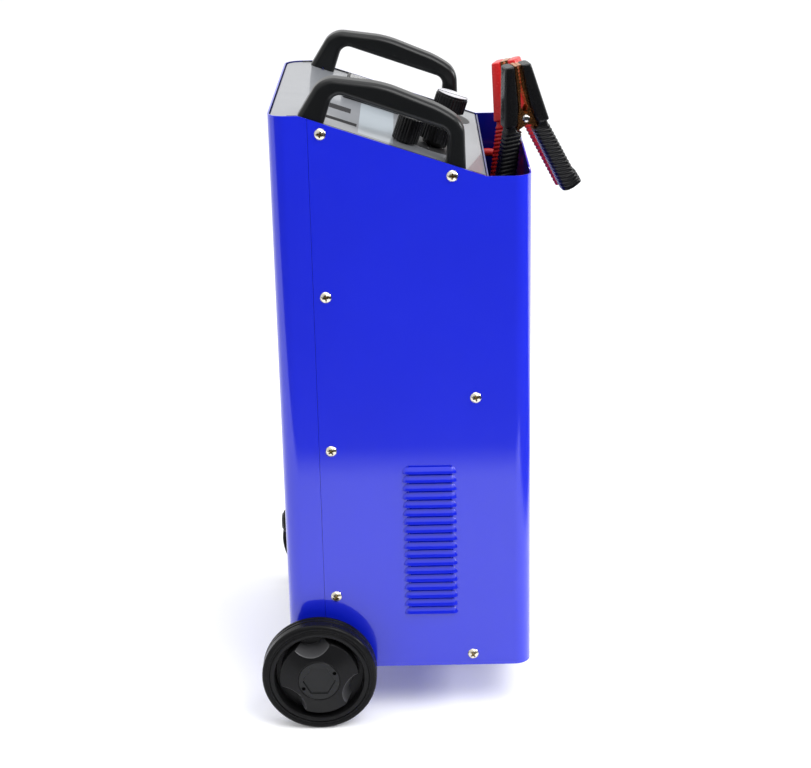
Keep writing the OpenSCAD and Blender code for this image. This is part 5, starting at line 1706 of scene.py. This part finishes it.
# The grip's end slants up beyond a distance from the middle line
SLANT = 0.5
SLANT_FROM = 0.037
# A cover's rounded nose and stepped shoulder, and one rib: (place along the arm, inset)
NOSE_STEPS = ((0, 0.0016), (-0.0004, 0.0007), (-0.0014, 0.0001))
SHOULDER_STEPS = ((0.0012, 0), (0.0004, 0.0003), (0, 0.001))
RIB_STEPS = ((0, 0.0009), (-0.2, 0.0002), (-0.55, 0.0002), (-0.75, 0.0009))


def section(inner, outer, height, half_width):
    """The place of a unit ring across an arm, between two distances from the middle line."""
    return (Matrix.Translation((0, (inner + outer) / 2, height))
            @ Matrix.Diagonal((half_width, (outer - inner) / 2, 1, 1)))


def stretched(bm, edges, before, after):
    """Draws a ring from one section to another."""
    edges = drawn(bm, edges, (0, 0, 0))
    bmesh.ops.transform(bm, matrix=after @ before.inverted(), verts=verts_of(edges))
    return edges


def loft(bm, sections):
    """Draws a rounded rectangle along a list of sections, and closes its first end."""
    verts, edges = ring(bm, 28, 1)
    for vert in verts:
        for axis in (0, 1):
            part = vert.co[axis]
            vert.co[axis] = math.copysign(abs(part) ** SQUARENESS, part)
    bmesh.ops.transform(bm, matrix=sections[0], verts=verts)
    bmesh.ops.edgeloop_fill(bm, edges=edges)
    for before, after in zip(sections, sections[1:]):
        edges = stretched(bm, edges, before, after)
    return edges


def tapered(start, taper, along):
    """A face's distance from the middle line, after a length along the arm."""
    rise, run = taper
    return start + rise * along / run


def grip_section(height, inset=0.0):
    """A section of the ribbed grip, drawn in by an inset."""
    inner = tapered(INNER, GRIP_INNER_TAPER, CROTCH_A - height)
    if height > CROTCH_A:
        inner = INNER + PIVOT_RELIEF * min((height - CROTCH_A) / GRIP_RELIEF_RUN, 1)
    outer = tapered(GRIP_OUTER, GRIP_OUTER_TAPER, SHOULDER_A - height)
    return section(inner + inset, outer - inset, height, GRIP_HALF - inset)


def cover_section(height, inset=0.0):
    """A section of the smooth cover over a jaw."""
    inner = tapered(COVER_INNER, COVER_INNER_TAPER, NOSE_A - height)
    if height < PIVOT_A:
        inner = tapered(INNER, COVER_RELIEF_TAPER, PIVOT_A - height)
    outer = tapered(COVER_OUTER, COVER_OUTER_TAPER, NOSE_A - height)
    return section(inner + inset, outer - inset, height, COVER_HALF - inset)


def clamp_arm(bm, ribs):
    """One insulated arm: a smooth cover, a step at the shoulder and a ribbed, hollow grip."""
    sections = [cover_section(NOSE_A + along, inset) for along, inset in NOSE_STEPS]
    sections += [cover_section(NOSE_A - COVER_STEP * i) for i in range(1, 8)]
    sections += [cover_section(SHOULDER_A + along, inset) for along, inset in SHOULDER_STEPS]
    along, inset = NECK
    sections.append(grip_section(SHOULDER_A + along, inset))
    start = SHOULDER_A + RIBS_FROM
    pitch = (start - GRIP_END_A) / ribs
    sections += [grip_section(start - i * pitch + along * pitch, inset)
                 for i in range(ribs) for along, inset in RIB_STEPS]
    heights = (GRIP_END_A, GRIP_END_A - GRIP_LIP, GRIP_END_A - GRIP_LIP, GRIP_END_A + WELL_DEPTH)
    end, lip, thin, deep = map(grip_section, heights, GRIP_INSETS)
    wall = stretched(bm, loft(bm, sections + [end, lip]), lip, thin)
    bmesh.ops.edgeloop_fill(bm, edges=stretched(bm, wall, thin, deep))
    for vert in bm.verts:
        if vert.co.z < GRIP_END_A + WELL_DEPTH + ON_FACE:
            vert.co.z += SLANT * max(vert.co.y - SLANT_FROM, 0)


class CHARGER_OT_clamps(ChargerOperator, bpy.types.Operator):
    """Mould the clamps' arms and fit their jaws, springs and rivets"""

    bl_idname = "charger.clamps"
    bl_label = "Clamps"

    def spring(self, bm):
        """A coil of wire round the rivet with two straight legs."""
        turns, pitch, radius, wire, leg = 4, 0.0026, 0.0046, 0.0009, 0.005
        half = turns * pitch / 2
        steps = 20 * turns
        _, edges = ring(bm, 10, wire, (-half, radius, -leg))
        bmesh.ops.edgeloop_fill(bm, edges=edges)
        edges = drawn(bm, edges, (0, 0, leg))
        geom = bmesh.ops.spin(bm, geom=verts_of(edges) + edges, cent=(0, 0, 0), axis=(1, 0, 0),
                              dvec=(2 * half / steps, 0, 0), angle=2 * math.pi * turns,
                              steps=steps)["geom_last"]
        edges = drawn(bm, only(bmesh.types.BMEdge, geom), (0, 0, leg))
        bmesh.ops.edgeloop_fill(bm, edges=edges)

    def rivet(self, bm):
        """A rivet with two domed heads."""
        reach, head, dome, shank = 0.0105, 0.004, 0.0012, 0.0025
        top = [(shank, reach), (head, reach), (0.85 * head, reach + 0.55 * dome),
               (0.5 * head, reach + 0.9 * dome), (0, reach + dome)]
        bottom = [(radius, -height) for radius, height in reversed(top)]
        lathe(bm, bottom + top, 32, Matrix.Rotation(math.pi / 2, 4, "Y"))

    def execute(self, context):
        settings = context.scene.charger_leads
        for colour, place in CLAMPS.items():
            jaws = [f"{colour}_rear_jaw", f"{colour}_front_jaw"]
            repaint("jaw_copper", *jaws)
            clamp = list(jaws)
            for arm, side, body in (("rear", 1, ROOT), ("front", -1, colour + "_arm")):
                bm = bmesh.new()
                clamp_arm(bm, settings.ribs)
                move(bm, place @ Matrix.Diagonal((1, side, 1, 1)))
                face_out(bm)
                clamp.append(piece(f"{colour}_{arm}_sleeve", bm, colour + "_clamp_plastic", body,
                                   [f"{colour}_{arm}_arm"], crease=50))
            for part, make in (("spring", self.spring), ("rivet", self.rivet)):
                bm = bmesh.new()
                make(bm)
                move(bm, place)
                face_out(bm)
                clamp.append(piece(f"{colour}_clamp_{part}", bm, "spring_steel", ROOT,
                                   [f"{colour}_{part}"], crease=50))
            route = lead_route(colour, settings.diameter)
            length = sum((b - a).length for a, b in zip(route, route[1:]))
        return {"FINISHED"}


class CHARGER_OT_glands(ChargerOperator, bpy.types.Operator):
    """Fit the mains gland at the rear and the grommets in the pocket's wall"""

    bl_idname = "charger.glands"
    bl_label = "Gland and grommets"

    gland_z = 0.163
    nut_radius = 0.016
    nut_height = 0.006
    collar_radius = 0.0135
    collar_height = 0.0135
    collar_flutes = 18
    collar_edge = 0.003
    mouth_rise = 0.0016
    mouth_radius = 0.0085
    bore_radius = 0.005
    bore_depth = 0.012
    # From the middle of the pocket's wall
    grommet_profile = (
        (0.0049, -0.004), (0.0075, -0.004), (0.009, -0.0028), (0.009, -0.0008), (0.007, -0.0007),
        (0.007, 0.0007), (0.009, 0.0008), (0.009, 0.0028), (0.0075, 0.004), (0.0049, 0.004),
        (0.0049, -0.004))

    def gland(self):
        """A hexagon nut and a fluted collar with a bore."""
        bm = bmesh.new()
        nut = bmesh.ops.create_circle(bm, cap_ends=True, segments=6, radius=self.nut_radius)
        lifted(bm, list(nut["verts"][0].link_faces), (0, 0, self.nut_height))
        top = fluted(bm, self.collar_radius, self.nut_height, self.collar_height,
                     self.collar_flutes, self.collar_edge)
        mouth = drawn(bm, top, (0, 0, self.mouth_rise))
        set_radius(mouth, self.mouth_radius)
        bore = drawn(bm, mouth, (0, 0, 0))
        set_radius(bore, self.bore_radius)
        bmesh.ops.edgeloop_fill(bm, edges=drawn(bm, bore, (0, 0, -self.bore_depth)))
        move(bm, Matrix.Translation((0, REAR_Y, self.gland_z))
             @ Matrix.Rotation(-math.pi / 2, 4, "X"))
        face_out(bm)
        piece("mains_gland_nut", bm, "hub_plastic", ROOT, ["mains_gland"],
              edge=0.0005)

    def grommets(self, wall):
        """A grommet round each lead, in the pocket's wall."""
        bm = bmesh.new()
        for colour, x in COIL_X.items():
            spot = (x - COIL_HAND[colour] * COIL_RADIUS, POCKET_Y - wall / 2, LEAD_Z)
            lathe(bm, self.grommet_profile, 40,
                  Matrix.Translation(spot) @ Matrix.Rotation(math.pi / 2, 4, "X"))
        face_out(bm)
        piece("lead_bushings", bm, "pad_rubber", ROOT, ["lead_grommets"],
              edge=0.0003)

    def execute(self, context):
        self.gland()
        self.grommets(context.scene.charger_cabinet.sheet)
        return {"FINISHED"}


class CHARGER_OT_inside(ChargerOperator, bpy.types.Operator):
    """Finish the transformer, the rectifier and the terminals inside"""

    bl_idname = "charger.inside"
    bl_label = "Inside"

    finishes = (
        ("core_sheets", "core"), ("winding_wire", "primary_winding", "secondary_winding"),
        ("axle_steel", "core_brackets"), ("sink_aluminium", "heat_sink"), ("zinc_plate", "diodes"),
        ("terminal_brass", "lead_terminals"), ("switch_resin", "terminal_blocks"))

    def execute(self, context):
        for finish_name, *nodes in self.finishes:
            repaint(finish_name, *nodes)
        return {"FINISHED"}


class CHARGER_OT_stage(ChargerOperator, bpy.types.Operator):
    """Lay the floor and set the soft lights"""

    bl_idname = "charger.stage"
    bl_label = "Stage"

    floor_size = (18, 18)
    floor_gap = 0.0002
    # Black cloths hidden from the camera: name, size, place on the floor and turning axis
    cloth_rise = 1.2
    cloths = (("dark_side", (2.4, 8), (-5, 0), "Y"), ("dark_front", (5.4, 2.4), (-2.3, -4), "X"))
    # Lamps: name, place, target, size and the setting of its power
    lamps = (
        ("key_softbox", (-1.6, -1.2, 2.6), (0, 0, 0.4), (1.6, 1.6), "key"),
        ("top_softbox", (0.2, 0.3, 2.6), (0, 0, 0.3), (2.0, 2.0), "top"),
        ("spark_lamp", (-0.2, -2.6, 1.45), (-0.16, -0.05, 0.25), (1.2, 0.5), "spark"))

    def sheet(self, name, size, place, finish_name):
        """A flat stage piece."""
        bm = bmesh.new()
        bmesh.ops.create_grid(bm, x_segments=1, y_segments=1, size=0.5,
                              matrix=place @ Matrix.Diagonal((*size, 1, 1)))
        mesh = bpy.data.meshes.new(name)
        bm.to_mesh(mesh)
        bm.free()
        made = bpy.data.objects.new(name, mesh)
        bpy.context.scene.collection.objects.link(made)
        mesh.materials.append(finish(finish_name))
        return made

    def softbox(self, name, place, target, size, power):
        """A rectangular area light aimed at a point."""
        lamp = bpy.data.lights.new(name, "AREA")
        lamp.shape = "RECTANGLE"
        lamp.size, lamp.size_y = size
        lamp.energy = power
        made = bpy.data.objects.new(name, lamp)
        bpy.context.scene.collection.objects.link(made)
        made.location = place
        made.rotation_euler = (Vector(target) - Vector(place)).to_track_quat("-Z", "Y").to_euler()

    def execute(self, context):
        settings = context.scene.charger_stage
        self.sheet("floor", self.floor_size, Matrix.Translation((0, 0, -self.floor_gap)),
                   "pale_floor")
        for name, size, place, axis in self.cloths:
            upright = Matrix.Translation((*place, self.cloth_rise))
            cloth = self.sheet(name, size, upright @ Matrix.Rotation(math.pi / 2, 4, axis),
                               "dark_cloth")
            cloth.visible_camera = False
        ground = self.sheet("dark_ground", self.floor_size,
                            Matrix.Translation((0, 0, self.floor_gap / 2)), "fading_cloth")
        ground.visible_camera = ground.visible_diffuse = ground.visible_shadow = False
        for name, place, target, size, power in self.lamps:
            self.softbox(name, place, target, size, getattr(settings, power))
        world = bpy.data.worlds.new("white_surround")
        world.use_nodes = True
        sky = world.node_tree.nodes["Background"]
        sky.inputs["Color"].default_value = (1, 1, 1, 1)
        sky.inputs["Strength"].default_value = settings.sky
        context.scene.world = world
        context.scene.view_settings.view_transform = "Standard"
        return {"FINISHED"}


class CHARGER_PT_panel(bpy.types.Panel):
    """Lists the charger's pieces and settings."""

    bl_idname = "CHARGER_PT_panel"
    bl_label = "Battery charger"
    bl_space_type = "VIEW_3D"
    bl_region_type = "UI"
    bl_category = "Charger"

    def draw(self, context):
        for operator in OPERATORS:
            self.layout.operator(operator.bl_idname)
        for name, group in SETTINGS.items():
            box = self.layout.box()
            box.label(text=name.title())
            for prop in group.__annotations__:
                box.prop(getattr(context.scene, "charger_" + name), prop)


SETTINGS = {
    "cabinet": CabinetSettings,
    "controls": ControlSettings,
    "wheels": WheelSettings,
    "leads": LeadSettings,
    "stage": StageSettings,
}
OPERATORS = (
    CHARGER_OT_camera, CHARGER_OT_leads, CHARGER_OT_cabinet, CHARGER_OT_screws, CHARGER_OT_feet,
    CHARGER_OT_panel, CHARGER_OT_handles, CHARGER_OT_knobs, CHARGER_OT_meter, CHARGER_OT_breaker,
    CHARGER_OT_wheels, CHARGER_OT_clamps, CHARGER_OT_glands, CHARGER_OT_inside, CHARGER_OT_stage)


def register():
    for group in SETTINGS.values():
        bpy.utils.register_class(group)
    for name, group in SETTINGS.items():
        setattr(bpy.types.Scene, "charger_" + name, PointerProperty(type=group))
    for operator in OPERATORS:
        bpy.utils.register_class(operator)
    bpy.utils.register_class(CHARGER_PT_panel)


def unregister():
    bpy.utils.unregister_class(CHARGER_PT_panel)
    for operator in reversed(OPERATORS):
        bpy.utils.unregister_class(operator)
    for name in SETTINGS:
        delattr(bpy.types.Scene, "charger_" + name)
    for group in reversed(list(SETTINGS.values())):
        bpy.utils.unregister_class(group)


def main():
    register()
    for operator in OPERATORS:
        group, name = operator.bl_idname.split(".")
        getattr(getattr(bpy.ops, group), name)()


if __name__ == "__main__":
    main()
